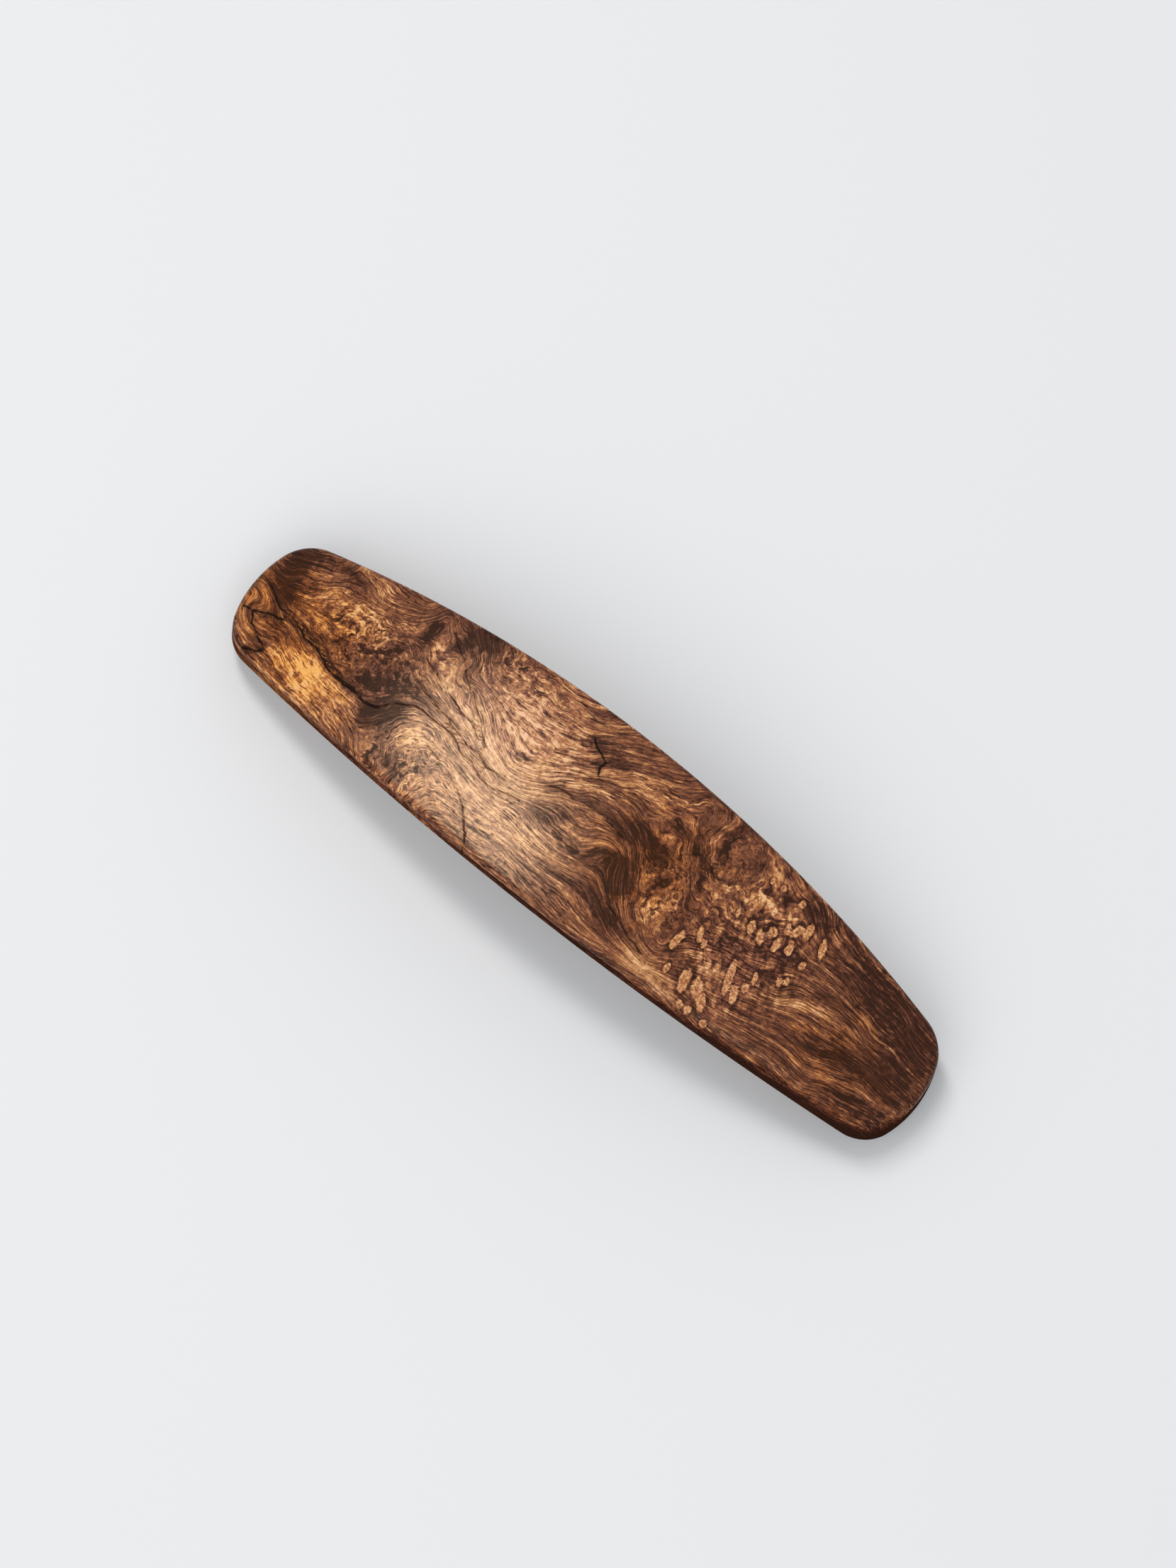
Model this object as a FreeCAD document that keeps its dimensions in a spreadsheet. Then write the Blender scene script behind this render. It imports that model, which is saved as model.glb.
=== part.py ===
import FreeCAD, Part

import math
import os

import Sketcher
from FreeCAD import Rotation, Vector

# A burl-wood hair barrette on a steel French clip.
#
# The frame: X runs along the barrette from the hinge (-X) to the catch (+X), Y across it and Z up.
# The origin lies on the table under the middle of the wood. The clip is closed and stands on its arm.
# The wood, the bond and the base plate are bent about one line parallel to Y, the bend axis.

DRIVING_DIMENSIONS = [
    # The wood face, seen from above: two long side arcs and two short end arcs.
    ("wood_length", 101.0),
    ("wood_width", 24.6),
    ("wood_end_width", 15.4),
    ("wood_end_bulge", 2.2),
    ("wood_corner_radius", 5.5),
    # The wood face's section.
    ("wood_thickness", 4.2),
    ("wood_crown_radius", 150.0),
    ("wood_top_round", 1.0),
    ("wood_bottom_round", 0.5),
    # The base plate, a strip of sheet bent to one radius.
    ("plate_bend_radius", 120.0),
    ("plate_apex_height", 12.6),
    ("plate_thickness", 0.7),
    ("plate_half_width", 4.5),
    ("plate_start", 36.2),
    ("plate_waist", 30.6),
    ("plate_end", 40.2),
    ("plate_tab_half_width", 2.8),
    ("plate_corner_round", 0.8),
    ("plate_tab_bulge", 1.8),
    # The epoxy between the plate and the wood.
    ("bond_thickness", 0.25),
    ("bond_half_length", 40.6),
    ("bond_half_width", 4.9),
    # The hinge at the -X end, and the plate's ears on it.
    ("hinge_x", -33.5),
    ("hinge_height", 3.4),
    ("pin_radius", 0.6),
    ("pin_head_radius", 1.05),
    ("pin_head_height", 0.45),
    ("pin_head_gap", 0.02),
    ("pin_clearance", 0.03),
    ("plate_ear_inside", 3.8),
    ("plate_ear_radius", 1.5),
    ("plate_ear_half_length", 2.5),
    # The clasp arm, a strip of sheet with two flat feet, an arch between them and a raised loop.
    ("arm_thickness", 0.7),
    ("arm_start", -34.85),
    ("arm_half_width", 3.6),
    ("arm_foot_end", 22.0),
    ("arm_arch_corner", 4.4),
    ("arm_arch_bend", 110.0),
    ("arm_foot_bend", 8.0),
    ("arm_ear_inside", 2.9),
    ("arm_ear_radius", 1.35),
    ("arm_ear_end", -29.6),
    ("slot_half_length", 19.0),
    ("slot_half_width", 1.3),
    ("loop_start", 27.6),
    ("loop_run", 2.0),
    ("loop_rise", 1.5),
    ("loop_bend", 1.2),
    ("loop_end", 37.6),
    ("loop_half_width", 4.2),
    ("loop_corner_round", 1.6),
    ("window_start", 30.9),
    ("window_end", 35.9),
    ("window_half_width", 2.9),
    # The tension bar, a thin bowed leaf whose knuckle turns on the hinge pin.
    ("bar_thickness", 0.44),
    ("bar_half_width", 2.3),
    ("bar_bend_radius", 230.0),
    ("bar_lift_angle", 11.2),
    ("bar_end", 30.2),
    ("bar_corner_round", 1.8),
    ("knuckle_radius", 1.08),
    ("knuckle_half_length", 2.6),
    # A catch prong, folded from sheet: a root at the plate, a squeeze wing and a latch leg below it.
    ("prong_start", 31.5),
    ("prong_end", 35.3),
    ("prong_thickness", 0.6),
    ("prong_y", 2.35),
    ("prong_root_gap", 0.06),
    ("wing_top", 6.5),
    ("wing_reach", 5.9),
    ("wing_tip_height", 4.65),
    ("wing_bottom", 3.3),
    ("latch_top", 1.6),
    ("latch_height", 1.1),
    ("latch_bulge", 0.17),
    ("tip_y", 2.2),
    ("tip_height", 0.4),
    ("wing_root_bend", 0.8),
    ("wing_fold_bend", 0.5),
    ("wing_return_bend", 0.6),
    ("latch_bend", 0.4),
    # The two screws through the plate's tabs into the wood.
    ("screw_x", 37.6),
    ("screw_shank_radius", 0.75),
    ("screw_length", 3.0),
    ("screw_point_length", 0.7),
    ("screw_head_radius", 1.65),
    ("screw_head_height", 0.85),
    ("screw_head_round", 0.45),
    ("screw_seat_gap", 0.02),
    ("recess_half_width", 0.2),
    ("recess_half_length", 0.85),
    ("recess_depth", 0.45),
    ("pilot_clearance", 0.02),
    ("plate_hole_clearance", 0.2),
]

SHEET = "Dimensions"
BLANK = "100"  # half the side of a blank that reaches past the whole barrette, in millimetres
SPARE = "1"  # how far a blank or a cutting tool reaches past what it makes, in millimetres

# What follows from the driving dimensions, as expressions.
D = SHEET + "."
BEND_AXIS_Z = f"({D}plate_apex_height - {D}plate_bend_radius)"
PLATE_INSIDE = f"({D}plate_bend_radius)"
PLATE_OUTSIDE = f"({D}plate_bend_radius + {D}plate_thickness)"
WOOD_INSIDE = f"({PLATE_OUTSIDE} + {D}bond_thickness)"
WOOD_OUTSIDE = f"({WOOD_INSIDE} + {D}wood_thickness)"
BORE_RADIUS = f"({D}pin_radius + {D}pin_clearance)"
SCREW_SEAT = f"({D}plate_bend_radius - {D}screw_seat_gap)"
SCREW_ANGLE = f"asin({D}screw_x / {D}plate_bend_radius)"
KNUCKLE_MIDDLE = f"({D}knuckle_radius - {D}bar_thickness / 2)"
BAR_REACH = f"({D}bar_bend_radius - {KNUCKLE_MIDDLE})"
BAR_AXIS_X = f"({D}hinge_x + {BAR_REACH} * sin({D}bar_lift_angle))"
BAR_AXIS_Z = f"({D}hinge_height - {BAR_REACH} * cos({D}bar_lift_angle))"


def minus(expression):
    """The expression with its sign turned round."""
    return f"-({expression})"


def chord_radius(half_chord, rise):
    """The radius of an arc that stands rise above a chord of twice half_chord."""
    return f"((({half_chord}) ^ 2 + ({rise}) ^ 2) / (2 * ({rise})))"


def height_on_bend(radius, x):
    """The height at x of a surface of this radius about the bend axis."""
    return f"({BEND_AXIS_Z} + sqrt(({radius}) ^ 2 - ({x}) ^ 2))"


# ---- Sketches ----


def make_sheet(doc):
    """The spreadsheet of driving dimensions, in millimetres and degrees: one row and alias for each."""
    sheet = doc.addObject("Spreadsheet::Sheet", SHEET)
    for row, (alias, value) in enumerate(DRIVING_DIMENSIONS, start=1):
        sheet.set(f"A{row}", alias)
        sheet.set(f"B{row}", str(value))
        sheet.setAlias(f"B{row}", alias)
    doc.recompute()


def size(doc, alias):
    """The value of one driving dimension."""
    return float(getattr(doc.getObject(SHEET), alias))


def origin_plane(body, role):
    """One of a body's own planes."""
    return next(feature for feature in body.Origin.OriginFeatures if feature.Role == role)


def make_sketch(body, name, role, offset="0"):
    """A sketch on one of the body's own planes, moved along the plane's normal by an expression.

    On XY_Plane the sketch's axes are X and Y. On XZ_Plane they are X and Z, with the normal along -Y.
    On YZ_Plane they are Y and Z, with the normal along +X.
    """
    sketch = body.newObject("Sketcher::SketchObject", name)
    sketch.AttachmentSupport = [(origin_plane(body, role), "")]
    sketch.MapMode = "FlatFace"
    sketch.setExpression(".AttachmentOffset.Base.z", offset)
    return sketch


def evaluate(sketch, expression):
    """The number that an expression has now."""
    found = sketch.evalExpression(expression)
    return float(getattr(found, "Value", found))


def evaluate_point(sketch, point):
    """A point given as two expressions, as a vector."""
    return Vector(evaluate(sketch, point[0]), evaluate(sketch, point[1]), 0)


def bind(sketch, kind, *where, to):
    """Adds a dimension to the sketch and binds it to an expression."""
    index = sketch.addConstraint(Sketcher.Constraint(kind, *where, evaluate(sketch, to)))
    sketch.setExpression(f"Constraints[{index}]", to)


def bind_point(sketch, geometry, end, point):
    """Binds one end of a piece of geometry to a point given as two expressions."""
    bind(sketch, "DistanceX", -1, 1, geometry, end, to=point[0])
    bind(sketch, "DistanceY", -1, 1, geometry, end, to=point[1])


def add_arc(sketch, start, end, centre, anticlockwise, radius):
    """An arc from start to end with its radius bound. It returns its index and its ends' numbers."""
    circle = Part.Circle(centre, Vector(0, 0, 1), (start - centre).Length)
    first, last = (start, end) if anticlockwise else (end, start)
    angles = [math.atan2(point.y - centre.y, point.x - centre.x) for point in (first, last)]
    index = sketch.addGeometry(Part.ArcOfCircle(circle, angles[0], angles[1]), False)
    bind(sketch, "Radius", index, to=radius)
    return (index, 1, 2) if anticlockwise else (index, 2, 1)


def draw_outline(sketch, corners, bulges=None, hollows=None):
    """A closed outline, anticlockwise, through corners that are each two expressions.

    bulges and hollows give the radius of an edge that bows outwards or inwards, by the index of the
    corner that it leaves. Each is the shorter of the two arcs of that radius.
    """
    bulges = bulges or {}
    hollows = hollows or {}
    points = [evaluate_point(sketch, corner) for corner in corners]
    edges = []
    for i, start in enumerate(points):
        end = points[(i + 1) % len(points)]
        radius = bulges.get(i) or hollows.get(i)
        if radius is None:
            edges.append((sketch.addGeometry(Part.LineSegment(start, end), False), 1, 2))
            continue
        half = (end - start) / 2
        left = Vector(-half.y, half.x, 0).normalize() * (1 if i in bulges else -1)
        drop = math.sqrt(evaluate(sketch, radius) ** 2 - half.Length ** 2)
        edges.append(add_arc(sketch, start, end, start + half + left * drop, i in bulges, radius))
    for i, (edge, first, last) in enumerate(edges):
        following, following_first, _ = edges[(i + 1) % len(edges)]
        sketch.addConstraint(Sketcher.Constraint("Coincident", edge, last, following, following_first))
        bind_point(sketch, edge, first, corners[i])


def draw_blank(sketch):
    """A square outline that reaches past the whole barrette."""
    low = minus(BLANK)
    draw_outline(sketch, [(low, low), (BLANK, low), (BLANK, BLANK), (low, BLANK)])


def draw_circle(sketch, centre, radius):
    """A circle, bound to its centre and radius."""
    circle = Part.Circle(evaluate_point(sketch, centre), Vector(0, 0, 1), evaluate(sketch, radius))
    index = sketch.addGeometry(circle, False)
    bind_point(sketch, index, 3, centre)
    bind(sketch, "Radius", index, to=radius)


def draw_bent_path(sketch, corners, bends):
    """An open path of straight runs joined by tangent arcs: one bend radius for each inner corner."""
    points = [evaluate_point(sketch, corner) for corner in corners]
    starts = [points[0]]
    finishes = []
    centres = []
    turns_left = []
    for i, bend in enumerate(bends, start=1):
        radius = evaluate(sketch, bend)
        back = (points[i - 1] - points[i]).normalize()
        ahead = (points[i + 1] - points[i]).normalize()
        half_angle = back.getAngle(ahead) / 2
        finishes.append(points[i] + back * (radius / math.tan(half_angle)))
        starts.append(points[i] + ahead * (radius / math.tan(half_angle)))
        centres.append(points[i] + (back + ahead).normalize() * (radius / math.sin(half_angle)))
        turns_left.append(ahead.cross(back).z > 0)
    finishes.append(points[-1])
    runs = [sketch.addGeometry(Part.LineSegment(a, b), False) for a, b in zip(starts, finishes)]
    bind_point(sketch, runs[0], 1, corners[0])
    bind_point(sketch, runs[-1], 2, corners[-1])
    for i, bend in enumerate(bends):
        arc, first, last = add_arc(sketch, finishes[i], starts[i + 1], centres[i], turns_left[i], bend)
        sketch.addConstraint(Sketcher.Constraint("Tangent", runs[i], 2, arc, first))
        sketch.addConstraint(Sketcher.Constraint("Tangent", arc, last, runs[i + 1], 1))
        corner = sketch.addGeometry(Part.Point(points[i + 1]), True)
        bind_point(sketch, corner, 1, corners[i + 1])
        for run in (runs[i], runs[i + 1]):
            sketch.addConstraint(Sketcher.Constraint("PointOnObject", corner, 1, run))


# ---- Features ----


def make_body(doc, label):
    """An empty body whose Label names its node."""
    body = doc.addObject("PartDesign::Body", "Body_" + label)
    body.Label = label
    return body


def pad(body, sketch, length, midplane=False):
    """Pads a sketch along its normal, or half each way."""
    feature = body.newObject("PartDesign::Pad", "Pad_" + sketch.Name)
    feature.Profile = sketch
    feature.Midplane = midplane
    feature.setExpression("Length", length)
    return feature


def pocket_through(body, sketch):
    """Cuts a sketch through the whole body, both ways."""
    feature = body.newObject("PartDesign::Pocket", "Pocket_" + sketch.Name)
    feature.Profile = sketch
    feature.Type = "ThroughAll"
    feature.Midplane = True


def cut_holes(body, name, role, holes):
    """Cuts round holes through the body: each a centre and a radius on one of the body's planes."""
    sketch = make_sketch(body, name, role)
    for centre, radius in holes:
        draw_circle(sketch, centre, radius)
    pocket_through(body, sketch)


def revolve_about_bend_axis(body, sketch, swing):
    """Revolves a sketch on YZ_Plane about the bend axis, through swing degrees, half each way."""
    height = evaluate(sketch, BEND_AXIS_Z)
    axis = sketch.addGeometry(Part.LineSegment(Vector(-1, height, 0), Vector(1, height, 0)), True)
    bind_point(sketch, axis, 1, ("-1", BEND_AXIS_Z))
    bind_point(sketch, axis, 2, ("1", BEND_AXIS_Z))
    feature = body.newObject("PartDesign::Revolution", "Revolution_" + sketch.Name)
    feature.Profile = sketch
    feature.ReferenceAxis = (sketch, ["Axis0"])
    feature.Midplane = True
    feature.setExpression("Angle", swing)


def bend_strip(body, inside, outside, half_width, half_length):
    """A rectangular strip between two radii about the bend axis."""
    section = make_sketch(body, body.Label + "_section", "YZ_Plane")
    low = f"{BEND_AXIS_Z} + {inside}"
    high = f"{BEND_AXIS_Z} + {outside}"
    left = minus(half_width)
    draw_outline(section, [(left, low), (half_width, low), (half_width, high), (left, high)])
    revolve_about_bend_axis(body, section, f"2 * asin({half_length} / {inside})")


def trim_to_plan(body, near_side, bulges=None):
    """Cuts away all that lies outside a plan outline, which is the same on both sides of Y = 0.

    near_side holds the outline's corners on the -Y side, from -X to +X.
    """
    sketch = make_sketch(body, body.Label + "_plan", "XY_Plane")
    draw_blank(sketch)
    far_side = [(x, minus(y)) for x, y in reversed(near_side)]
    draw_outline(sketch, near_side + far_side, bulges)
    pocket_through(body, sketch)


def add_ears(body, inside, outside, corners, bulges):
    """Two ears on the hinge, each padded from an outline on XZ_Plane and mirrored across Y = 0."""
    sketch = make_sketch(body, body.Label + "_ear", "XZ_Plane", offset=inside)
    draw_outline(sketch, corners, bulges)
    ear = pad(body, sketch, f"{outside} - {inside}")
    mirrored = body.newObject("PartDesign::Mirrored", body.Label + "_other_ear")
    mirrored.Originals = [ear]
    mirrored.MirrorPlane = (origin_plane(body, "XZ_Plane"), [""])
    body.Tip = mirrored


def sweep(body, path, section):
    """Sweeps a section sketch along a path sketch."""
    feature = body.newObject("PartDesign::AdditivePipe", "Sweep_" + section.Name)
    feature.Profile = section
    feature.Spine = path


def round_off(doc, body, radius, kind, chosen):
    """Fillets the chosen edges (kind Edge), or all the edges round the chosen faces (kind Face)."""
    doc.recompute()
    base = body.Tip
    items = base.Shape.Edges if kind == "Edge" else base.Shape.Faces
    names = [f"{kind}{i}" for i, item in enumerate(items, start=1) if chosen(item)]
    feature = body.newObject("PartDesign::Fillet", "Fillet_" + base.Name)
    feature.Base = (base, names)
    feature.setExpression("Radius", radius)
    doc.recompute()


def runs_through(edge):
    """Whether an edge runs through the thickness of a strip: nearly upright and straight."""
    along = edge.tangentAt(edge.FirstParameter)
    return isinstance(edge.Curve, Part.Line) and abs(along.z) > 0.9


def corner_between(near, far):
    """A test for the corners of a strip whose distance from X = 0 lies between near and far."""
    return lambda edge: runs_through(edge) and near < abs(edge.CenterOfMass.x) < far


def screw_tools(doc, name, radius, reach):
    """Two cylinders on the screws' axes, from inside the plate out to a radius about the bend axis."""
    tools = []
    for end, side in (("hinge", -1), ("catch", 1)):
        tool = doc.addObject("Part::Cylinder", f"{name}_{end}_end")
        start = f"({PLATE_INSIDE} - {SPARE})"
        tool.setExpression("Radius", radius)
        tool.setExpression("Height", f"{reach} - {start}")
        place_on_screw_axis(tool, side, start)
        tools.append(tool)
    both = doc.addObject("Part::MultiFuse", name)
    both.Shapes = tools
    return both


def place_on_screw_axis(piece, side, radius):
    """Stands a piece on a screw's axis, at a radius about the bend axis, its Z pointing outwards."""
    piece.Placement.Rotation = Rotation(Vector(0, side, 0), 1)
    piece.setExpression(".Placement.Rotation.Angle", SCREW_ANGLE)
    piece.setExpression(".Placement.Base.x", f"{side} * {radius} * sin({SCREW_ANGLE})")
    piece.setExpression(".Placement.Base.z", f"{BEND_AXIS_Z} + {radius} * cos({SCREW_ANGLE})")


def cut_by(doc, body, tool):
    """The body less a tool, which takes over the body's Label and so is its node."""
    label = body.Label
    body.Label = label + "_uncut"
    result = doc.addObject("Part::Cut", "Cut_" + label)
    result.Base = body
    result.Tool = tool
    result.Label = label
    return result


# ---- The pieces on the wood ----


def make_wood_top(doc):
    """The burl face: an arched, slightly crowned slab with rounded edges and two blind pilot holes."""
    body = make_body(doc, "wood_top")
    section = make_sketch(body, "wood_section", "YZ_Plane")
    edge = f"({D}wood_width / 2 + {SPARE})"
    low = f"{BEND_AXIS_Z} + {WOOD_INSIDE}"
    crown = f"({D}wood_crown_radius - sqrt({D}wood_crown_radius ^ 2 - {edge} ^ 2))"
    shoulder = f"{BEND_AXIS_Z} + {WOOD_OUTSIDE} - {crown}"
    corners = [(minus(edge), low), (edge, low), (edge, shoulder), (minus(edge), shoulder)]
    draw_outline(section, corners, bulges={2: D + "wood_crown_radius"})
    revolve_about_bend_axis(body, section, f"2 * asin(({D}wood_length / 2 + {SPARE}) / {WOOD_INSIDE})")

    corner_x = f"({D}wood_length / 2 - {D}wood_end_bulge)"
    corner_y = f"({D}wood_end_width / 2)"
    side_radius = chord_radius(corner_x, f"{D}wood_width / 2 - {corner_y}")
    end_radius = chord_radius(corner_y, D + "wood_end_bulge")
    near_side = [(minus(corner_x), minus(corner_y)), (corner_x, minus(corner_y))]
    trim_to_plan(body, near_side, bulges={0: side_radius, 1: end_radius, 2: side_radius, 3: end_radius})

    round_off(doc, body, D + "wood_corner_radius", "Edge", runs_through)
    top = max(body.Shape.Faces, key=lambda face: face.CenterOfMass.z).CenterOfMass
    is_top = lambda face: face.CenterOfMass.isEqual(top, 1e-6)
    round_off(doc, body, D + "wood_top_round", "Face", is_top)
    round_off(doc, body, D + "wood_bottom_round", "Face", lies_on_bend_cylinder)
    pilot_radius = f"{D}screw_shank_radius + {D}pilot_clearance"
    pilot_end = f"({SCREW_SEAT} + {D}screw_length)"
    return cut_by(doc, body, screw_tools(doc, "pilot_holes", pilot_radius, pilot_end))


def lies_on_bend_cylinder(face):
    """Whether a face is part of a cylinder about a line parallel to Y."""
    return isinstance(face.Surface, Part.Cylinder) and abs(face.Surface.Axis.y) > 0.99


def make_epoxy_bond(doc):
    """The thin film of epoxy between the plate and the wood, pierced by the two screws."""
    body = make_body(doc, "epoxy_bond")
    bend_strip(body, PLATE_OUTSIDE, WOOD_INSIDE, D + "bond_half_width", D + "bond_half_length")
    round_off(doc, body, D + "plate_corner_round", "Edge", runs_through)
    hole_radius = f"{D}screw_shank_radius + {D}pilot_clearance"
    hole_end = f"({WOOD_INSIDE} + {SPARE})"
    return cut_by(doc, body, screw_tools(doc, "bond_holes", hole_radius, hole_end))


def make_base_plate(doc):
    """The clip's base plate: a bent strip with a screw tab at each end and two hinge ears."""
    body = make_body(doc, "base_plate")
    bend_strip(body, PLATE_INSIDE, PLATE_OUTSIDE, D + "plate_half_width", f"({D}plate_end + {SPARE})")
    wide = minus(D + "plate_half_width")
    narrow = minus(D + "plate_tab_half_width")
    tab_end = f"({D}plate_end - {D}plate_tab_bulge)"
    near_side = [
        (minus(tab_end), narrow),
        (minus(D + "plate_start"), narrow),
        (minus(D + "plate_start"), wide),
        (D + "plate_waist", wide),
        (D + "plate_waist", narrow),
        (tab_end, narrow),
    ]
    tab_radius = chord_radius(D + "plate_tab_half_width", D + "plate_tab_bulge")
    trim_to_plan(body, near_side, bulges={5: tab_radius, 11: tab_radius})
    round_off(doc, body, D + "plate_corner_round", "Edge", corner_between(0, size(doc, "screw_x")))
    add_plate_ears(body)
    cut_holes(body, "plate_pin_hole", "XZ_Plane", [((D + "hinge_x", D + "hinge_height"), BORE_RADIUS)])
    hole_radius = f"{D}screw_shank_radius + {D}plate_hole_clearance"
    hole_end = f"({PLATE_OUTSIDE} + {SPARE})"
    return cut_by(doc, body, screw_tools(doc, "plate_holes", hole_radius, hole_end))


def add_plate_ears(body):
    """The plate's hinge ears: they taper from the plate's edge down to a round end about the pin."""
    mid_radius = f"({D}plate_bend_radius + {D}plate_thickness / 2)"
    left = f"({D}hinge_x - {D}plate_ear_half_length)"
    right = f"({D}hinge_x + {D}plate_ear_half_length)"
    corners = [
        (f"{D}hinge_x - {D}plate_ear_radius", D + "hinge_height"),
        (D + "hinge_x", f"{D}hinge_height - {D}plate_ear_radius"),
        (f"{D}hinge_x + {D}plate_ear_radius", D + "hinge_height"),
        (right, height_on_bend(mid_radius, right)),
        (left, height_on_bend(mid_radius, left)),
    ]
    radius = D + "plate_ear_radius"
    add_ears(body, D + "plate_ear_inside", D + "plate_half_width", corners, {0: radius, 1: radius})


def make_screw(doc, label, side):
    """A pan-head wood screw with a pointed shank and a cross recess, standing on one screw axis."""
    body = make_body(doc, label)
    section = make_sketch(body, label + "_section", "XZ_Plane")
    base = minus(D + "screw_head_height")
    tip = D + "screw_length"
    corners = [
        ("0", base),
        (f"{D}screw_head_radius - {D}screw_head_round", base),
        (D + "screw_head_radius", f"{base} + {D}screw_head_round"),
        (D + "screw_head_radius", "0"),
        (D + "screw_shank_radius", "0"),
        (D + "screw_shank_radius", f"{tip} - {D}screw_point_length"),
        ("0", tip),
    ]
    draw_outline(section, corners, bulges={1: D + "screw_head_round"})
    feature = body.newObject("PartDesign::Revolution", label + "_turned")
    feature.Profile = section
    feature.ReferenceAxis = (section, ["V_Axis"])
    feature.Angle = 360

    recess = make_sketch(body, label + "_recess", "XY_Plane", offset=base)
    long_half = D + "recess_half_length"
    short_half = D + "recess_half_width"
    cross = [
        (minus(long_half), minus(short_half)),
        (minus(short_half), minus(short_half)),
        (minus(short_half), minus(long_half)),
        (short_half, minus(long_half)),
        (short_half, minus(short_half)),
        (long_half, minus(short_half)),
    ]
    draw_outline(recess, cross + [(x, minus(y)) for x, y in reversed(cross)])
    pocket = body.newObject("PartDesign::Pocket", label + "_recess_pocket")
    pocket.Profile = recess
    pocket.Reversed = True
    pocket.setExpression("Length", D + "recess_depth")
    place_on_screw_axis(body, side, SCREW_SEAT)
    return body


# ---- The hinge pin and what turns on it ----


def make_hinge_pin(doc):
    """The hinge pin: a rivet through all four ears and the knuckle, with a round head at each end."""
    body = make_body(doc, "hinge_pin")
    section = make_sketch(body, "pin_section", "YZ_Plane")
    shoulder = f"({D}plate_half_width + {D}pin_head_gap)"
    end = f"({shoulder} + {D}pin_head_height)"
    corners = [
        (minus(end), "0"),
        (end, "0"),
        (end, D + "pin_radius"),
        (shoulder, D + "pin_head_radius"),
        (shoulder, D + "pin_radius"),
        (minus(shoulder), D + "pin_radius"),
        (minus(shoulder), D + "pin_head_radius"),
        (minus(end), D + "pin_radius"),
    ]
    dome = D + "pin_head_radius"
    draw_outline(section, corners, bulges={2: dome, 6: dome})
    feature = body.newObject("PartDesign::Revolution", "pin_turned")
    feature.Profile = section
    feature.ReferenceAxis = (section, ["H_Axis"])
    feature.Angle = 360
    body.setExpression(".Placement.Base.x", D + "hinge_x")
    body.setExpression(".Placement.Base.z", D + "hinge_height")
    return body


def make_clasp_arm(doc):
    """The clasp arm: bent strip with a slotted arch, a windowed loop at the catch and hinge ears."""
    body = make_body(doc, "clasp_arm")
    half = f"{D}arm_thickness / 2"
    raised = f"{half} + {D}loop_rise"
    foot_end = D + "arm_foot_end"
    corners = [
        (D + "arm_start", half),
        (minus(foot_end), half),
        ("0", D + "arm_arch_corner"),
        (foot_end, half),
        (D + "loop_start", half),
        (f"{D}loop_start + {D}loop_run", raised),
        (D + "loop_end", raised),
    ]
    bends = ["arm_foot_bend", "arm_arch_bend", "arm_foot_bend", "loop_bend", "loop_bend"]
    path = make_sketch(body, "arm_path", "XZ_Plane")
    draw_bent_path(path, corners, [D + bend for bend in bends])
    section = make_sketch(body, "arm_section", "YZ_Plane", offset=D + "arm_start")
    side = D + "loop_half_width"
    top = D + "arm_thickness"
    draw_outline(section, [(minus(side), "0"), (side, "0"), (side, top), (minus(side), top)])
    sweep(body, path, section)

    flare_end = f"{D}loop_start + {D}loop_run"
    near_side = [
        (D + "arm_start", minus(D + "arm_half_width")),
        (D + "loop_start", minus(D + "arm_half_width")),
        (flare_end, minus(side)),
        (D + "loop_end", minus(side)),
    ]
    trim_to_plan(body, near_side)
    at_loop_end = corner_between(size(doc, "window_end"), math.inf)
    round_off(doc, body, D + "loop_corner_round", "Edge", at_loop_end)
    cut_arm_openings(body)
    add_arm_ears(body)
    cut_holes(body, "arm_pin_hole", "XZ_Plane", [((D + "hinge_x", D + "hinge_height"), BORE_RADIUS)])
    return body


def cut_arm_openings(body):
    """The long slot with round ends in the arm's arch, and the window for the prongs in its loop."""
    sketch = make_sketch(body, "arm_openings", "XY_Plane")
    reach = f"({D}slot_half_length - {D}slot_half_width)"
    side = D + "slot_half_width"
    slot = [(minus(reach), minus(side)), (reach, minus(side)), (f"{reach} + {side}", "0")]
    slot += [(reach, side), (minus(reach), side), (minus(f"{reach} + {side}"), "0")]
    draw_outline(sketch, slot, bulges={1: side, 2: side, 4: side, 5: side})
    low = minus(D + "window_half_width")
    high = D + "window_half_width"
    start = D + "window_start"
    end = D + "window_end"
    draw_outline(sketch, [(start, low), (end, low), (end, high), (start, high)])
    pocket_through(body, sketch)


def add_arm_ears(body):
    """The arm's hinge ears: they stand up from its first foot, round over the pin and slope down."""
    foot = f"({D}arm_thickness / 2)"
    corners = [
        (D + "arm_start", foot),
        (D + "arm_ear_end", foot),
        (f"{D}hinge_x + {D}arm_ear_radius", D + "hinge_height"),
        (D + "hinge_x", f"{D}hinge_height + {D}arm_ear_radius"),
        (f"{D}hinge_x - {D}arm_ear_radius", D + "hinge_height"),
    ]
    radius = D + "arm_ear_radius"
    add_ears(body, D + "arm_ear_inside", D + "arm_half_width", corners, {2: radius, 3: radius})


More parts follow.
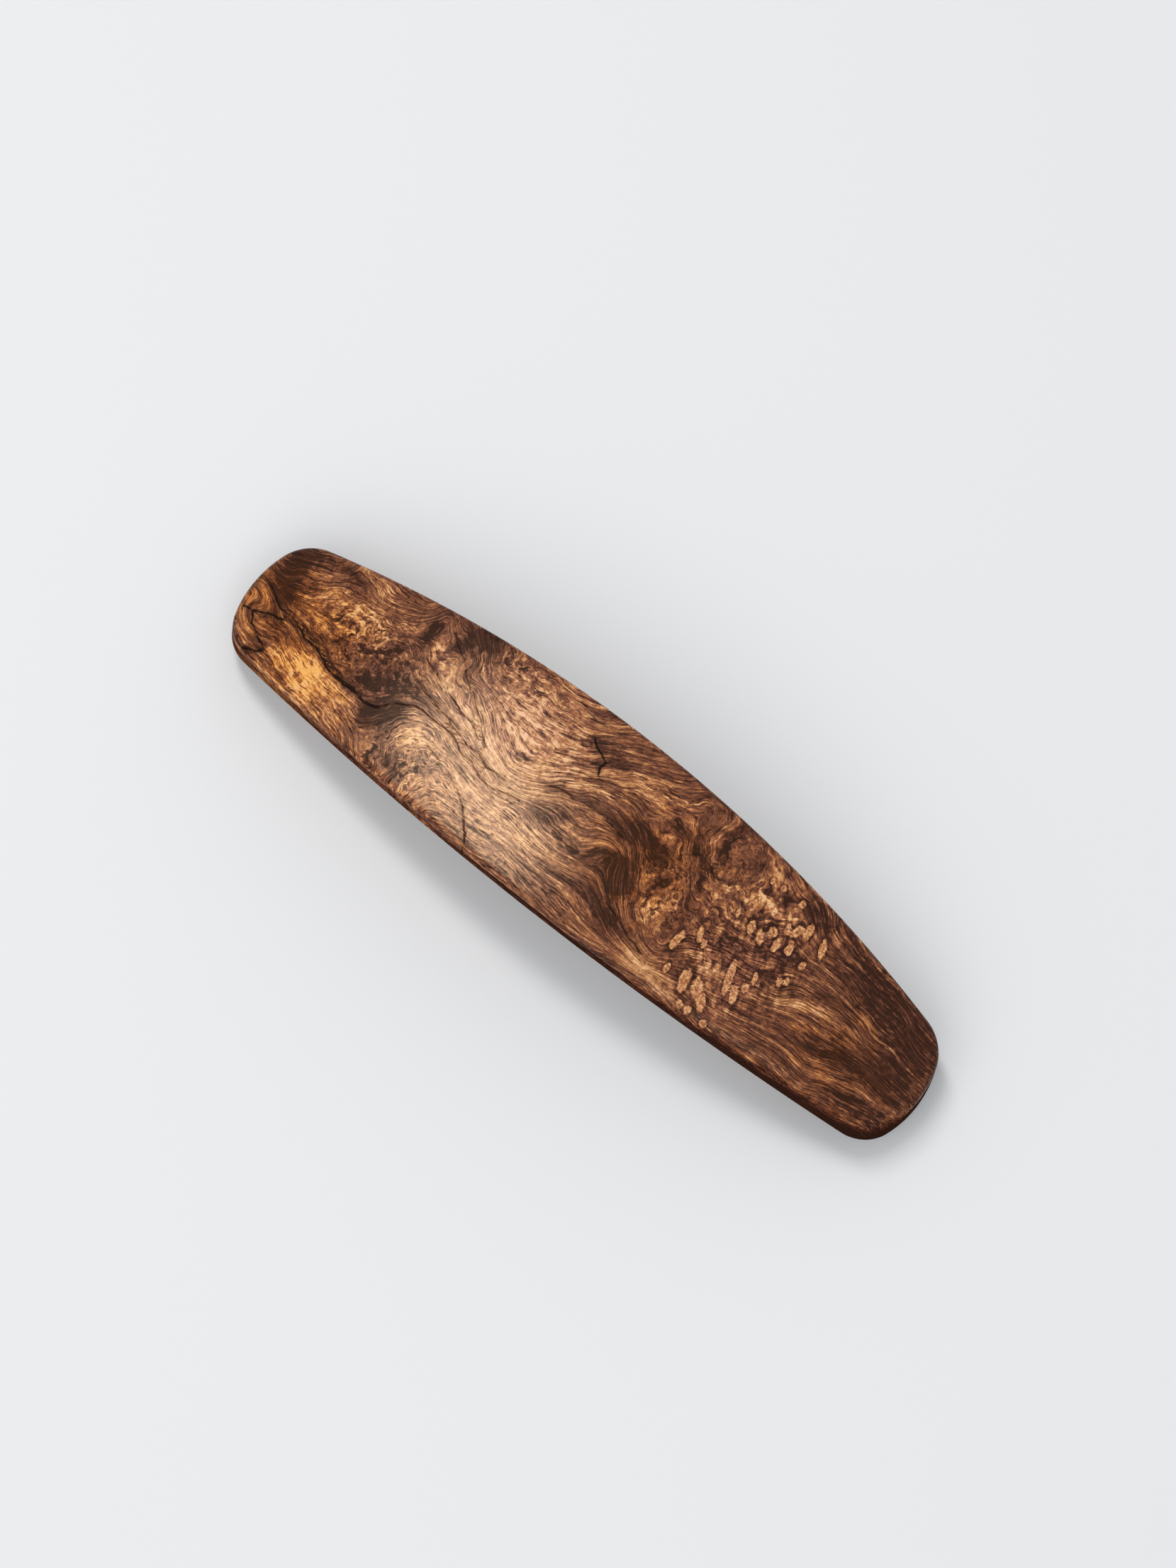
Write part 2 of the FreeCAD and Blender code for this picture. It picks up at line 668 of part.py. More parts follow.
def make_tension_bar(doc):
    """The tension bar: a bowed leaf that rises from a knuckle on the pin and ends free at the catch."""
    body = make_body(doc, "tension_bar")
    side_view = make_sketch(body, "bar_side_view", "XZ_Plane")
    inside = f"({D}bar_bend_radius - {D}bar_thickness / 2)"
    outside = f"({D}bar_bend_radius + {D}bar_thickness / 2)"
    start = f"(-{D}bar_lift_angle)"
    end = f"asin(({D}bar_end - {BAR_AXIS_X}) / {D}bar_bend_radius)"
    corners = [
        (f"{BAR_AXIS_X} + {radius} * sin({angle})", f"{BAR_AXIS_Z} + {radius} * cos({angle})")
        for radius, angle in ((inside, start), (inside, end), (outside, end), (outside, start))
    ]
    draw_outline(side_view, corners, bulges={2: outside}, hollows={0: inside})
    pad(body, side_view, f"2 * {D}bar_half_width", midplane=True)
    at_free_end = corner_between(size(doc, "loop_start"), -size(doc, "hinge_x"))
    round_off(doc, body, D + "bar_corner_round", "Edge", at_free_end)
    knuckle = make_sketch(body, "bar_knuckle", "XZ_Plane")
    pin_centre = (D + "hinge_x", D + "hinge_height")
    draw_circle(knuckle, pin_centre, D + "knuckle_radius")
    pad(body, knuckle, f"2 * {D}knuckle_half_length", midplane=True)
    cut_holes(body, "bar_pin_hole", "XZ_Plane", [(pin_centre, BORE_RADIUS)])
    return body


# ---- The catch ----


def make_catch_prong(doc, label, side):
    """One catch prong: bent strip that hangs from the plate, folds out to a wing, ends in a barb."""
    body = make_body(doc, label + "_untrimmed")
    root = f"({height_on_bend(PLATE_INSIDE, D + 'prong_start')} + {SPARE})"
    out = f"{side} * {D}"
    corners = [
        (out + "prong_y", root),
        (out + "prong_y", D + "wing_top"),
        (out + "wing_reach", D + "wing_tip_height"),
        (out + "prong_y", D + "wing_bottom"),
        (out + "prong_y", D + "latch_top"),
        (f"{side} * ({D}prong_y + {D}latch_bulge)", D + "latch_height"),
        (out + "tip_y", D + "tip_height"),
    ]
    bends = ["wing_root_bend", "wing_fold_bend", "wing_return_bend", "latch_bend", "latch_bend"]
    path = make_sketch(body, label + "_path", "YZ_Plane", offset=f"({D}prong_start + {D}prong_end) / 2")
    draw_bent_path(path, corners, [D + bend for bend in bends])
    section = make_sketch(body, label + "_section", "XY_Plane", offset=root)
    low = f"{side} * {D}prong_y - {D}prong_thickness / 2"
    high = f"{side} * {D}prong_y + {D}prong_thickness / 2"
    start = D + "prong_start"
    end = D + "prong_end"
    draw_outline(section, [(start, low), (end, low), (end, high), (start, high)])
    sweep(body, path, section)

    under_plate = doc.addObject("Part::Cylinder", "Under_plate_" + label)
    under_plate.setExpression("Radius", f"{PLATE_INSIDE} - {D}prong_root_gap")
    under_plate.setExpression("Height", f"4 * {D}wing_reach")
    under_plate.Placement.Rotation = Rotation(Vector(1, 0, 0), -90)
    under_plate.setExpression(".Placement.Base.y", f"-2 * {D}wing_reach")
    under_plate.setExpression(".Placement.Base.z", BEND_AXIS_Z)
    trimmed = doc.addObject("Part::Common", "Trimmed_" + label)
    trimmed.Base = body
    trimmed.Tool = under_plate
    trimmed.Label = label
    return trimmed


# ---- The whole barrette ----


def make_nodes(doc):
    """Every sub-part, in the order in which the barrette is put together."""
    return [
        make_wood_top(doc),
        make_epoxy_bond(doc),
        make_base_plate(doc),
        make_screw(doc, "plate_screw_hinge_end", -1),
        make_screw(doc, "plate_screw_catch_end", 1),
        make_hinge_pin(doc),
        make_clasp_arm(doc),
        make_tension_bar(doc),
        make_catch_prong(doc, "catch_prong_front", -1),
        make_catch_prong(doc, "catch_prong_rear", 1),
    ]


def check(doc, nodes):
    """Stops if an object of the document failed, or if a node isn't one sound solid."""
    failed = [obj.Label for obj in doc.Objects if {"Invalid", "Error"} & set(obj.State)]
    if failed:
        raise RuntimeError(f"failed objects: {failed}")
    for node in nodes:
        shape = node.Shape
        if shape.isNull() or not shape.isValid() or len(shape.Solids) != 1:
            raise RuntimeError(f"{node.Label} isn't one valid solid")
        box = shape.BoundBox
        low = f"{box.XMin:7.2f} {box.YMin:7.2f} {box.ZMin:7.2f}"
        high = f"{box.XMax:7.2f} {box.YMax:7.2f} {box.ZMax:7.2f}"
        print(f"{node.Label:24} {shape.Volume:9.3f} mm3  {low} to {high}")


def main():
    doc = FreeCAD.newDocument("Barrette")
    make_sheet(doc)
    nodes = make_nodes(doc)
    doc.recompute()
    check(doc, nodes)
    os.makedirs("parts", exist_ok=True)
    for node in nodes:
        node.Shape.exportStep(f"parts/{node.Label}.step")


main()
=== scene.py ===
import math

import bmesh
import bpy
import numpy as np
from mathutils import Matrix, Vector


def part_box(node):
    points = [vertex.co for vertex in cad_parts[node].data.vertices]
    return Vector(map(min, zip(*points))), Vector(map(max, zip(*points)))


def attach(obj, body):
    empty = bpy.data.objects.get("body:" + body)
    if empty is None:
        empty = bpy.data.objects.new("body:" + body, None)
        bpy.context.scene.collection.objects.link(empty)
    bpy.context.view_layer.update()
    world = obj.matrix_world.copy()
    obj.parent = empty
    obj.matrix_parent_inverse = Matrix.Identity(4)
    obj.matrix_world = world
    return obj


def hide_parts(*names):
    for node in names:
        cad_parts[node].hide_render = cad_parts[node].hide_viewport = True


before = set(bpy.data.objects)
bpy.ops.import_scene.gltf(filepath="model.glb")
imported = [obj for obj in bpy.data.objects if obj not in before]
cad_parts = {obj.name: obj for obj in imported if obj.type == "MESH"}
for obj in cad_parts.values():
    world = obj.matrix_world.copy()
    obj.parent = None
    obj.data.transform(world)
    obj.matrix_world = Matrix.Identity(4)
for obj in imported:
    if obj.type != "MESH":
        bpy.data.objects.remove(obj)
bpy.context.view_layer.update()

MM = 0.001

# ---- The wood face's shape, in millimetres, in the frame of the CAD model ----

wood_low, wood_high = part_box("wood_top")
WOOD_LENGTH = (wood_high.x - wood_low.x) / MM
WOOD_WIDTH = (wood_high.y - wood_low.y) / MM
END_WIDTH = 15.4
END_BULGE = 2.2
CORNER_RADIUS = 5.5
UNDERSIDE_RADIUS = 120.95
UNDERSIDE_APEX = 13.55
CROWN_RADIUS = 150.0
TOP_ROUND = 0.6
TOP_ROUND_MOST = 2.2  # at the front of the catch end
MORE_ROUND_FROM = 12.0  # the X where the top edge starts to get rounder
MORE_ROUND_OVER = 20.0
FRONT_REACH = 5.0  # how far in front of the middle the edge counts as the front one
BOTTOM_ROUND = 0.5
TOP_RADIUS = UNDERSIDE_RADIUS + wood_high.z / MM - UNDERSIDE_APEX
BEND_AXIS_Z = UNDERSIDE_APEX - UNDERSIDE_RADIUS

GRID_STEP = 0.27
ROUND_STEPS = 9
WALL_STEPS = 6

# ---- The wood's figure, in millimetres from the middle of the face: X along it, Y across it ----

# Lines that the grain follows: (the line's own value, which is about how far up it lies, points).
GRAIN_LINES = [
    (6.5, [(-47.0, 6.5), (-43.0, 8.0), (-40.0, 8.8), (-36.0, 9.2), (-31.0, 9.6)]),
    (4.6, [(-40.2, 8.9), (-39.4, 8.0), (-37.4, 7.2), (-35.2, 6.9), (-33.4, 7.6)]),
    (2.6, [(-49.0, 2.6), (-46.0, 3.4), (-42.0, 5.0), (-38.5, 6.0)]),
    (0.6, [(-49.0, 1.6), (-46.4, 1.0), (-43.5, 1.6), (-40.5, 3.0)]),
    (2.5, [(-29.2, 9.8), (-27.0, 9.0), (-25.4, 8.4), (-22.6, 6.2), (-20.4, 4.0), (-18.4, 2.7),
           (-16.0, 0.9), (-14.4, -0.1), (-11.6, -1.1), (-8.8, -1.0), (-6.6, 0.1), (-4.3, 1.8),
           (-1.8, 3.4), (1.0, 4.3), (4.4, 4.5), (6.6, 4.2), (8.8, 3.3), (10.8, 2.9), (13.0, 2.0),
           (14.4, 0.0), (16.0, -1.7)]),
    (1.7, [(-29.8, 7.8), (-28.2, 7.0), (-25.4, 6.0), (-23.4, 4.9), (-21.8, 3.5), (-20.4, 2.3),
           (-18.4, 1.4)]),
    (1.0, [(-36.9, 4.8), (-34.1, 5.0), (-31.8, 4.6), (-29.6, 4.8), (-28.2, 4.2), (-25.4, 2.8),
           (-22.6, 2.0), (-19.8, 1.1), (-17.0, 0.2)]),
    (0.0, [(-33.4, 2.9), (-32.0, 3.9), (-30.7, 4.1), (-28.8, 3.3), (-26.8, 1.9), (-24.0, 1.1),
           (-21.2, 0.3), (-18.4, -0.4), (-16.4, -0.9), (-14.4, -1.6), (-11.6, -2.5), (-8.8, -2.5),
           (-6.6, -1.4), (-4.3, 0.0), (-1.8, 0.8), (1.0, 1.3), (3.8, 1.4), (6.0, 0.6), (7.2, -0.8)]),
    (-1.2, [(-35.2, -1.7), (-34.0, 0.4), (-32.4, 2.0), (-30.7, 2.8), (-28.8, 1.9), (-26.8, 0.7),
            (-24.0, 0.2), (-19.8, -0.9), (-16.0, -2.0)]),
    (-2.4, [(-38.0, -2.6), (-35.4, -3.4), (-32.4, -3.4), (-30.2, -2.4), (-28.2, -1.0), (-26.2, -0.4),
            (-24.0, -0.4), (-21.2, -1.0), (-17.0, -2.4)]),
    (-3.6, [(-49.2, 0.6), (-46.4, -0.6), (-45.0, -1.5), (-40.8, -2.8), (-38.0, -4.0), (-35.2, -4.8),
            (-30.7, -5.2), (-28.2, -4.2), (-26.8, -2.5), (-25.4, -1.7), (-22.6, -1.5), (-19.8, -1.9),
            (-17.2, -3.1), (-14.4, -3.6), (-11.6, -4.2), (-8.8, -4.2), (-6.8, -3.9), (-4.9, -4.4),
            (-2.6, -4.9), (-0.4, -5.2), (2.4, -4.6), (4.1, -3.6), (5.2, -1.9)]),
    (-4.7, [(-47.5, -3.2), (-42.8, -3.2), (-40.8, -4.2), (-38.6, -5.4), (-36.3, -6.2), (-33.8, -6.2),
            (-31.0, -6.8), (-28.4, -8.4), (-26.8, -9.5), (-24.8, -11.2)]),
    (-5.0, [(-26.4, -7.4), (-25.4, -5.0), (-24.0, -3.3), (-21.8, -2.7), (-19.6, -3.7)]),
    (-7.4, [(-20.2, -11.4), (-20.4, -9.4), (-18.4, -7.5), (-15.0, -7.2)]),
    (4.4, [(-22.0, 5.4), (-18.0, 4.4), (-14.0, 2.9), (-11.0, 1.9), (-8.5, 1.8), (-6.5, 2.8),
           (-4.5, 4.2)]),
    (-6.4, [(-46.5, -5.8), (-43.0, -6.6), (-40.0, -7.8), (-38.0, -8.4), (-35.2, -8.7), (-32.4, -9.0),
            (-29.6, -10.2)]),
    (-6.2, [(-22.4, -11.0), (-22.9, -8.4), (-22.0, -6.0), (-20.0, -4.6), (-17.2, -5.0), (-14.4, -5.7),
            (-11.6, -6.2), (-8.2, -6.6), (-4.6, -6.8), (-0.4, -7.0), (3.2, -6.4), (6.0, -6.8),
            (8.6, -8.1), (10.8, -9.2)]),
    (-9.0, [(-17.6, -11.6), (-17.6, -10.0), (-16.0, -8.8), (-13.0, -8.8), (-8.2, -9.2), (-4.6, -9.3),
            (-0.4, -9.8), (3.8, -10.4), (8.0, -10.7)]),
    (8.5, [(-20.0, 8.7), (-15.8, 8.4), (-11.6, 8.1), (-8.8, 8.3), (-6.6, 9.0), (-4.3, 10.4),
           (-2.6, 11.5)]),
    (5.5, [(-20.0, 5.9), (-16.6, 5.3), (-13.0, 4.8), (-8.8, 4.5), (-6.0, 5.6), (-3.2, 7.6), (-0.4, 8.7),
           (2.4, 9.8), (5.2, 11.2)]),
    (4.4, [(-2.6, 5.6), (-0.4, 6.6), (2.4, 7.8), (5.2, 8.9), (8.0, 9.7), (10.2, 10.9)]),
    (3.5, [(-0.4, 5.3), (2.4, 6.5), (5.2, 7.1), (8.0, 7.1), (10.8, 5.9), (12.2, 4.5), (13.6, 2.4),
           (15.3, 0.8)]),
    (-1.4, [(6.9, -1.9), (8.0, -3.9), (9.1, -5.6), (10.8, -7.0), (13.6, -8.1), (16.0, -8.6)]),
    (4.4, [(14.0, 4.0), (15.7, 2.9), (17.6, 1.8), (19.9, 1.4)]),
    (5.6, [(14.0, 7.3), (16.8, 8.1), (19.6, 9.6)]),
    (5.4, [(19.9, 5.3), (22.4, 5.9), (25.2, 6.3), (27.4, 6.7)]),
    (-8.6, [(13.0, -10.3), (17.0, -10.0), (21.0, -9.6)]),
    (6.4, [(30.8, 6.7), (33.6, 6.6), (37.2, 6.4), (43.0, 5.6), (49.0, 4.6)]),
    (4.2, [(31.9, 4.2), (35.0, 4.5), (37.8, 3.8), (42.0, 3.0), (49.5, 2.8)]),
    (1.6, [(31.5, 0.9), (33.6, 1.3), (36.4, 1.9), (39.2, 1.7), (42.0, 1.1), (50.0, 1.1)]),
    (0.2, [(30.5, -1.9), (32.2, -0.6), (33.6, 0.0), (36.4, 0.3), (40.6, 0.4), (50.0, -0.1)]),
    (-2.2, [(30.8, -3.4), (33.0, -2.5), (36.4, -2.5), (39.2, -1.7), (43.4, -1.0), (50.0, -1.2)]),
    (-4.8, [(31.4, -5.6), (34.2, -5.0), (37.8, -5.3), (40.6, -3.9), (44.8, -2.8), (50.0, -2.6)]),
    (-7.2, [(28.0, -8.4), (32.2, -7.3), (36.4, -7.3), (39.2, -7.4), (43.4, -5.6), (47.6, -4.5),
            (50.0, -4.1)]),
    (-9.0, [(25.8, -9.8), (30.8, -9.2), (36.4, -9.0), (40.6, -8.1), (44.8, -7.0), (49.0, -6.0)]),
]
GRAIN_SLACK = 0.3  # how loosely the grain follows those lines
FAR = 5.0  # a distance held to this reaches nothing

# Patches of light and dark wood, and of painted sheen where the window's light reflects: (x, y, reach
# along, reach across, tilt in degrees, how much lighter).
TONE_AND_SHEEN_PATCHES = [
    (-40.0, 8.0, 6.0, 2.0, 0, 0.32),
    (-38.0, -6.0, 7.0, 3.5, -5, 0.40),
    (-30.0, -8.5, 4.0, 2.0, -10, 0.25),
    # The three broad light patches below, between x −22 and −5, are partly lighter wood and partly
    # painted sheen where the window's light reflects.
    (-21.0, -1.0, 4.0, 9.0, 0, 0.15),
    (-12.0, 1.0, 7.5, 12.0, 0, 0.40),
    (-6.0, -3.0, 4.0, 10.0, 0, 0.15),
    (-37.0, 1.0, 5.0, 3.0, 0, 0.06),
    (-30.0, 1.0, 4.0, 5.0, 0, -0.08),
    (2.5, -1.0, 5.0, 6.0, 0, -0.12),
    (6.5, -1.0, 7.0, 4.5, 0, -0.08),
    (9.0, 8.0, 6.0, 3.0, 0, 0.24),
    (23.0, 0.0, 8.0, 12.0, 0, 0.24),
    (43.0, -4.0, 7.0, 4.0, 0, -0.50),
    (34.0, 0.0, 5.0, 9.0, 0, 0.02),
    (37.0, 8.5, 8.0, 2.5, 0, -0.30),
    (-47.4, 4.0, 1.8, 4.4, 8, -0.9),
    (-45.8, 0.6, 1.5, 1.2, -40, -0.5),
    (-43.0, 7.3, 4.0, 0.7, 8, -0.6),
    (-40.2, 6.8, 1.8, 1.0, 0, -0.5),
    (-43.5, -4.0, 3.2, 1.6, -20, -0.4),
    (-45.0, -7.4, 3.0, 0.9, -8, -0.35),
    (-29.2, 6.6, 0.8, 2.3, 8, -0.75),
    (-33.5, 8.2, 1.8, 1.2, 0, -0.3),
    (-28.4, -6.2, 1.6, 1.5, 20, -1.0),
    (-26.8, -4.1, 2.2, 1.6, 50, -0.9),
    (-23.3, 9.9, 2.0, 1.5, 0, -0.8),
    (-24.8, 8.4, 0.8, 1.8, -15, -0.55),
    (-37.3, -0.5, 1.3, 0.55, 25, -0.7),
    (-34.0, 0.3, 1.8, 0.5, 30, -0.5),
    (-31.4, 2.2, 2.4, 0.6, 45, -0.45),
    (-30.5, -2.2, 3.8, 2.0, 25, -0.5),
    (-24.5, -0.9, 2.4, 0.5, -5, -0.3),
    (-22.5, -9.3, 2.2, 1.1, -20, -0.6),
    (-29.0, -8.2, 1.4, 1.0, -30, -0.4),
    (-21.0, 7.5, 1.0, 2.6, 20, -0.25),
    (-5.2, -3.0, 1.5, 1.3, 10, -0.55),
    (-5.2, 8.1, 1.3, 0.7, -20, -0.7),
    (-2.7, -1.7, 1.3, 0.6, 40, -0.6),
    (-5.4, 0.4, 1.2, 0.5, 35, -0.5),
    (-2.0, 8.0, 1.6, 1.0, 25, -0.5),
    (3.6, 1.3, 1.9, 0.55, -5, -0.7),
    (6.6, 2.6, 2.4, 0.9, -8, -0.65),
    (9.3, 1.6, 1.6, 1.4, -50, -0.55),
    (5.7, -1.7, 1.8, 0.7, 15, -0.7),
    (7.6, -3.8, 2.2, 2.0, 0, -0.6),
    (11.4, -0.9, 0.9, 1.7, -10, -0.65),
    (8.8, -8.2, 3.4, 1.5, -15, -0.6),
    (9.0, 6.3, 2.4, 0.9, -12, -0.55),
    (12.2, 5.0, 1.0, 0.6, -30, -0.6),
    (14.5, 4.5, 1.6, 0.35, -15, -0.6),
    (14.0, 9.0, 2.0, 0.6, 5, -0.4),
    (15.5, -3.0, 1.3, 3.0, 0, -0.4),
    (19.0, -7.6, 1.6, 1.0, 0, -0.4),
    (21.5, -1.2, 2.6, 0.9, -10, -0.5),
    (28.5, -4.0, 1.8, 3.0, 0, -0.4),
    (28.0, 9.0, 3.5, 1.4, -8, -0.55),
    (28.5, 1.5, 2.2, 2.5, 0, -0.35),
    (40.0, 5.0, 7.0, 2.6, -6, -0.42),
    (47.0, 3.0, 3.5, 5.0, 0, -0.4),
    (44.0, -1.6, 5.0, 0.9, 3, -0.35),
    (34.0, -6.5, 4.0, 2.2, 10, -0.2),
    (-41.5, 3.9, 3.4, 1.1, 0, 0.5),
    (-42.5, 1.0, 3.4, 1.8, -25, 0.3),
    (-48.2, -1.3, 1.5, 1.3, -20, 0.4),
    (-47.0, -5.3, 1.6, 0.9, -20, 0.3),
    (-37.5, 8.4, 3.6, 0.9, -8, 0.5),
    (-38.5, -6.6, 6.5, 2.4, -8, 0.6),
    (-36.0, -5.3, 4.0, 0.8, -5, 0.4),
    (-35.8, 3.0, 3.0, 2.6, 30, 0.50),
    (-31.5, 7.0, 1.6, 1.6, 0, 0.35),
    (-27.3, 6.4, 1.2, 1.8, -15, 0.35),
    (-26.0, 3.6, 4.0, 1.6, -28, 0.35),
    (-22.0, -4.5, 3.5, 2.0, -5, 0.45),
    (-18.0, -9.5, 5.0, 2.0, 10, 0.25),
    # The two light patches below lie in the same band: partly lighter wood, partly painted sheen.
    (-12.0, 3.0, 9.0, 7.0, 0, 0.35),
    (-10.0, -6.5, 7.0, 2.6, 0, 0.35),
    (-1.0, 3.4, 4.5, 0.6, 18, 0.45),
    (3.0, 7.0, 5.0, 1.2, 28, 0.3),
    (-0.5, -6.2, 4.5, 1.2, 3, 0.45),
    (1.5, -1.6, 3.0, 1.0, 12, 0.3),
    (12.4, -3.6, 1.9, 2.0, 20, 0.6),
    (9.6, -1.4, 0.9, 1.0, 0, 0.5),
    (16.0, -9.7, 6.5, 1.1, -3, 0.75),
    (16.5, 2.2, 3.5, 0.8, -25, 0.4),
    (23.0, 6.0, 3.8, 0.8, 4, 0.35),
    (24.5, 9.4, 3.0, 0.6, 0, 0.3),
    (21.5, -4.6, 2.6, 1.0, 0, 0.3),
    (38.0, 0.4, 3.6, 0.6, 4, 0.45),
    (38.0, -1.4, 4.0, 0.7, 6, 0.35),
    (40.5, -5.0, 4.0, 0.8, 14, 0.55),
    (32.8, -1.4, 2.0, 0.9, 30, 0.4),
    (45.0, -3.0, 4.0, 1.4, 8, 0.25),
    (36.0, -8.5, 4.0, 0.8, 10, 0.3),
]

# Patches of hue: (x, y, reach along, reach across, how much more orange, or less where negative).
WARMTH_PATCHES = [
    (-40, -1, 8, 6, 0.8),
    (-38, -7, 8, 3, 0.5),
    (-48, 0, 4, 5, 0.6),
    (-14, 4, 10, 8, -0.7),
    (-10, -7, 8, 4, -0.4),
    (-30, -2, 4, 3, -0.3),
    (12, 6, 6, 4, 0.3),
    (8, -1, 8, 6, 0.7),
    (25, -3, 6, 9, -0.5),
    (40, -3, 9, 6, 0.5),
]

# Where the figure is swirled and mottled, not straight: (x, y, reach along, reach across, how much).
BURL_PATCHES = [
    (-41, 3, 9, 8, 0.5),
    (-31, 0, 6, 5, 0.8),
    (-21, -8, 5.5, 3, 0.9),
    (-20, 9, 6, 4, 0.7),
    (-12, 9, 6, 3, 0.4),
    (12, -2, 5, 6, 0.7),
    (22, 0, 7, 9, 0.25),
    (15, 8, 6, 4, 0.45),
]

# Where small slanting cells cover the figure like feathers: (x, y, reach along, reach across, how much).
FEATHER_PATCHES = [
    (23.5, 4.0, 6.5, 6.0, 0.9),
    (22.5, -5.5, 5.5, 5.0, 0.9),
    (29.0, 0.5, 3.0, 6.0, 0.5),
]

# Dark lines through the figure: (half width at the start, half width at the end, how dark, points).
VEINS = [
    (0.10, 0.17, 1.0, [(-49.6, 1.0), (-47.6, 0.0), (-45.6, -1.2), (-42.5, -1.8), (-39.4, -2.7),
                       (-36.6, -3.9), (-33.4, -4.6), (-30.2, -4.9), (-28.2, -4.4)]),
    (0.11, 0.15, 0.7, [(-45.0, -0.7), (-41.8, -1.3), (-39.0, -2.0), (-36.4, -3.2), (-33.8, -4.0),
                       (-31.0, -4.3)]),
    (0.12, 0.10, 1.0, [(-49.6, -3.3), (-47.8, -3.0), (-46.2, -2.4), (-44.2, -2.0)]),
    (0.11, 0.17, 1.0, [(-48.4, -3.1), (-47.3, -4.6), (-45.7, -5.6), (-44.0, -6.4), (-44.5, -7.2),
                       (-46.3, -7.8)]),
    (0.10, 0.06, 0.6, [(-28.2, -4.4), (-27.0, -2.9), (-25.4, -1.9), (-23.2, -1.6), (-20.0, -1.8),
                       (-17.0, -3.0)]),
    (0.09, 0.09, 0.45, [(-17.0, -3.0), (-13.6, -3.9), (-10.4, -4.0), (-7.6, -3.4)]),
    (0.08, 0.07, 0.6, [(-27.0, 8.6), (-24.8, 6.9), (-22.8, 5.3), (-20.8, 3.7)]),
    (0.09, 0.09, 0.35, [(-20.8, 3.7), (-18.6, 2.2), (-16.8, 0.8), (-15.4, -0.6)]),
    (0.08, 0.10, 0.5, [(-26.5, 0.3), (-23.5, 0.1), (-20.5, -0.6), (-17.0, -1.8), (-13.5, -2.6),
                       (-9.5, -2.2)]),
    (0.09, 0.09, 0.5, [(-30.0, 4.7), (-27.5, 3.8), (-24.5, 2.5), (-21.5, 1.6), (-18.5, 0.7),
                       (-15.0, -0.9)]),
    (0.12, 0.14, 1.0, [(-5.6, 8.3), (-4.6, 7.5), (-3.4, 7.0), (-2.6, 6.6), (-2.9, 5.7), (-2.5, 4.9)]),
    (0.10, 0.07, 0.6, [(-2.5, 4.9), (-1.8, 4.6), (0.4, 4.8), (3.0, 5.3), (6.0, 5.6)]),
    (0.08, 0.08, 0.3, [(-20.8, -4.6), (-18.0, -5.5), (-15.6, -6.4), (-13.4, -7.6)]),
    (0.07, 0.10, 0.8, [(-13.4, -7.6), (-11.6, -9.2), (-10.3, -10.5), (-9.3, -12.4)]),
    (0.12, 0.10, 0.6, [(-6.6, -0.2), (-4.6, 0.9), (-1.6, 1.3), (1.5, 1.4), (5.0, 0.8)]),
    (0.12, 0.14, 0.7, [(8.0, -6.6), (10.5, -7.3), (12.5, -8.2), (15.0, -8.7)]),
    (0.12, 0.12, 0.6, [(-8.4, 10.4), (-6.8, 10.1), (-5.4, 10.3)]),
    (0.10, 0.10, 0.5, [(11.0, 3.4), (13.0, 5.2), (15.0, 4.6), (17.0, 3.4)]),
    (0.12, 0.12, 0.5, [(30.0, -1.9), (31.4, -0.6), (33.2, 0.7)]),
]

# Bird's-eyes: (x, y, half length, half width, tilt in degrees, how dark).
BIRDS_EYES = [
    (-38.9, 3.5, 0.8, 0.5, 40, 1.0),
    (-39.2, 2.4, 0.7, 0.35, 45, 1.0),
    (-37.8, 1.9, 0.9, 0.6, 30, 1.0),
    (-36.3, 3.6, 0.55, 0.45, 20, 1.0),
    (-36.9, 1.8, 0.3, 0.3, 0, 1.0),
    (-36.4, 0.9, 0.5, 0.35, 10, 1.0),
    (-35.3, 2.6, 0.35, 0.55, 0, 1.0),
    (-34.2, 3.2, 0.7, 0.3, 60, 1.0),
    (-33.4, 2.3, 0.7, 0.3, 55, 1.0),
    (-33.9, 0.3, 0.9, 0.4, 25, 1.0),
    (-32.6, 1.2, 0.6, 0.35, 25, 1.0),
    (-38.3, -6.9, 0.9, 0.5, -15, 1.0),
    (-26.4, 5.2, 0.8, 0.5, -20, 0.9),
    (-6.0, 7.1, 0.8, 0.5, 8, 0.9),
    (-5.1, -10.7, 0.35, 0.4, 0, 0.8),
    (-18.4, 10.2, 0.5, 0.3, 0, 0.45),
    (-15.4, 9.4, 0.9, 0.5, -15, 0.45),
    (-11.8, 9.8, 0.9, 0.5, -5, 0.45),
    (-8.8, 9.9, 0.7, 0.4, 10, 0.45),
    (-14.6, 7.2, 1.2, 0.5, -10, 0.45),
    (-18.5, 5.9, 1.1, 0.6, -5, 0.45),
    (-13.4, 3.4, 1.0, 0.5, 0, 0.45),
    (-7.6, 4.4, 0.8, 0.5, 0, 0.45),
    (0.8, -4.1, 0.8, 0.55, 0, 0.8),
    (-1.6, -4.0, 0.9, 0.45, -5, 0.8),
    (-18.4, -11.3, 0.7, 0.5, 0, 0.45),
    (-20.5, -11.5, 0.6, 0.4, 0, 0.45),
    (38.8, 6.2, 0.6, 0.8, 0, 0.25),
]

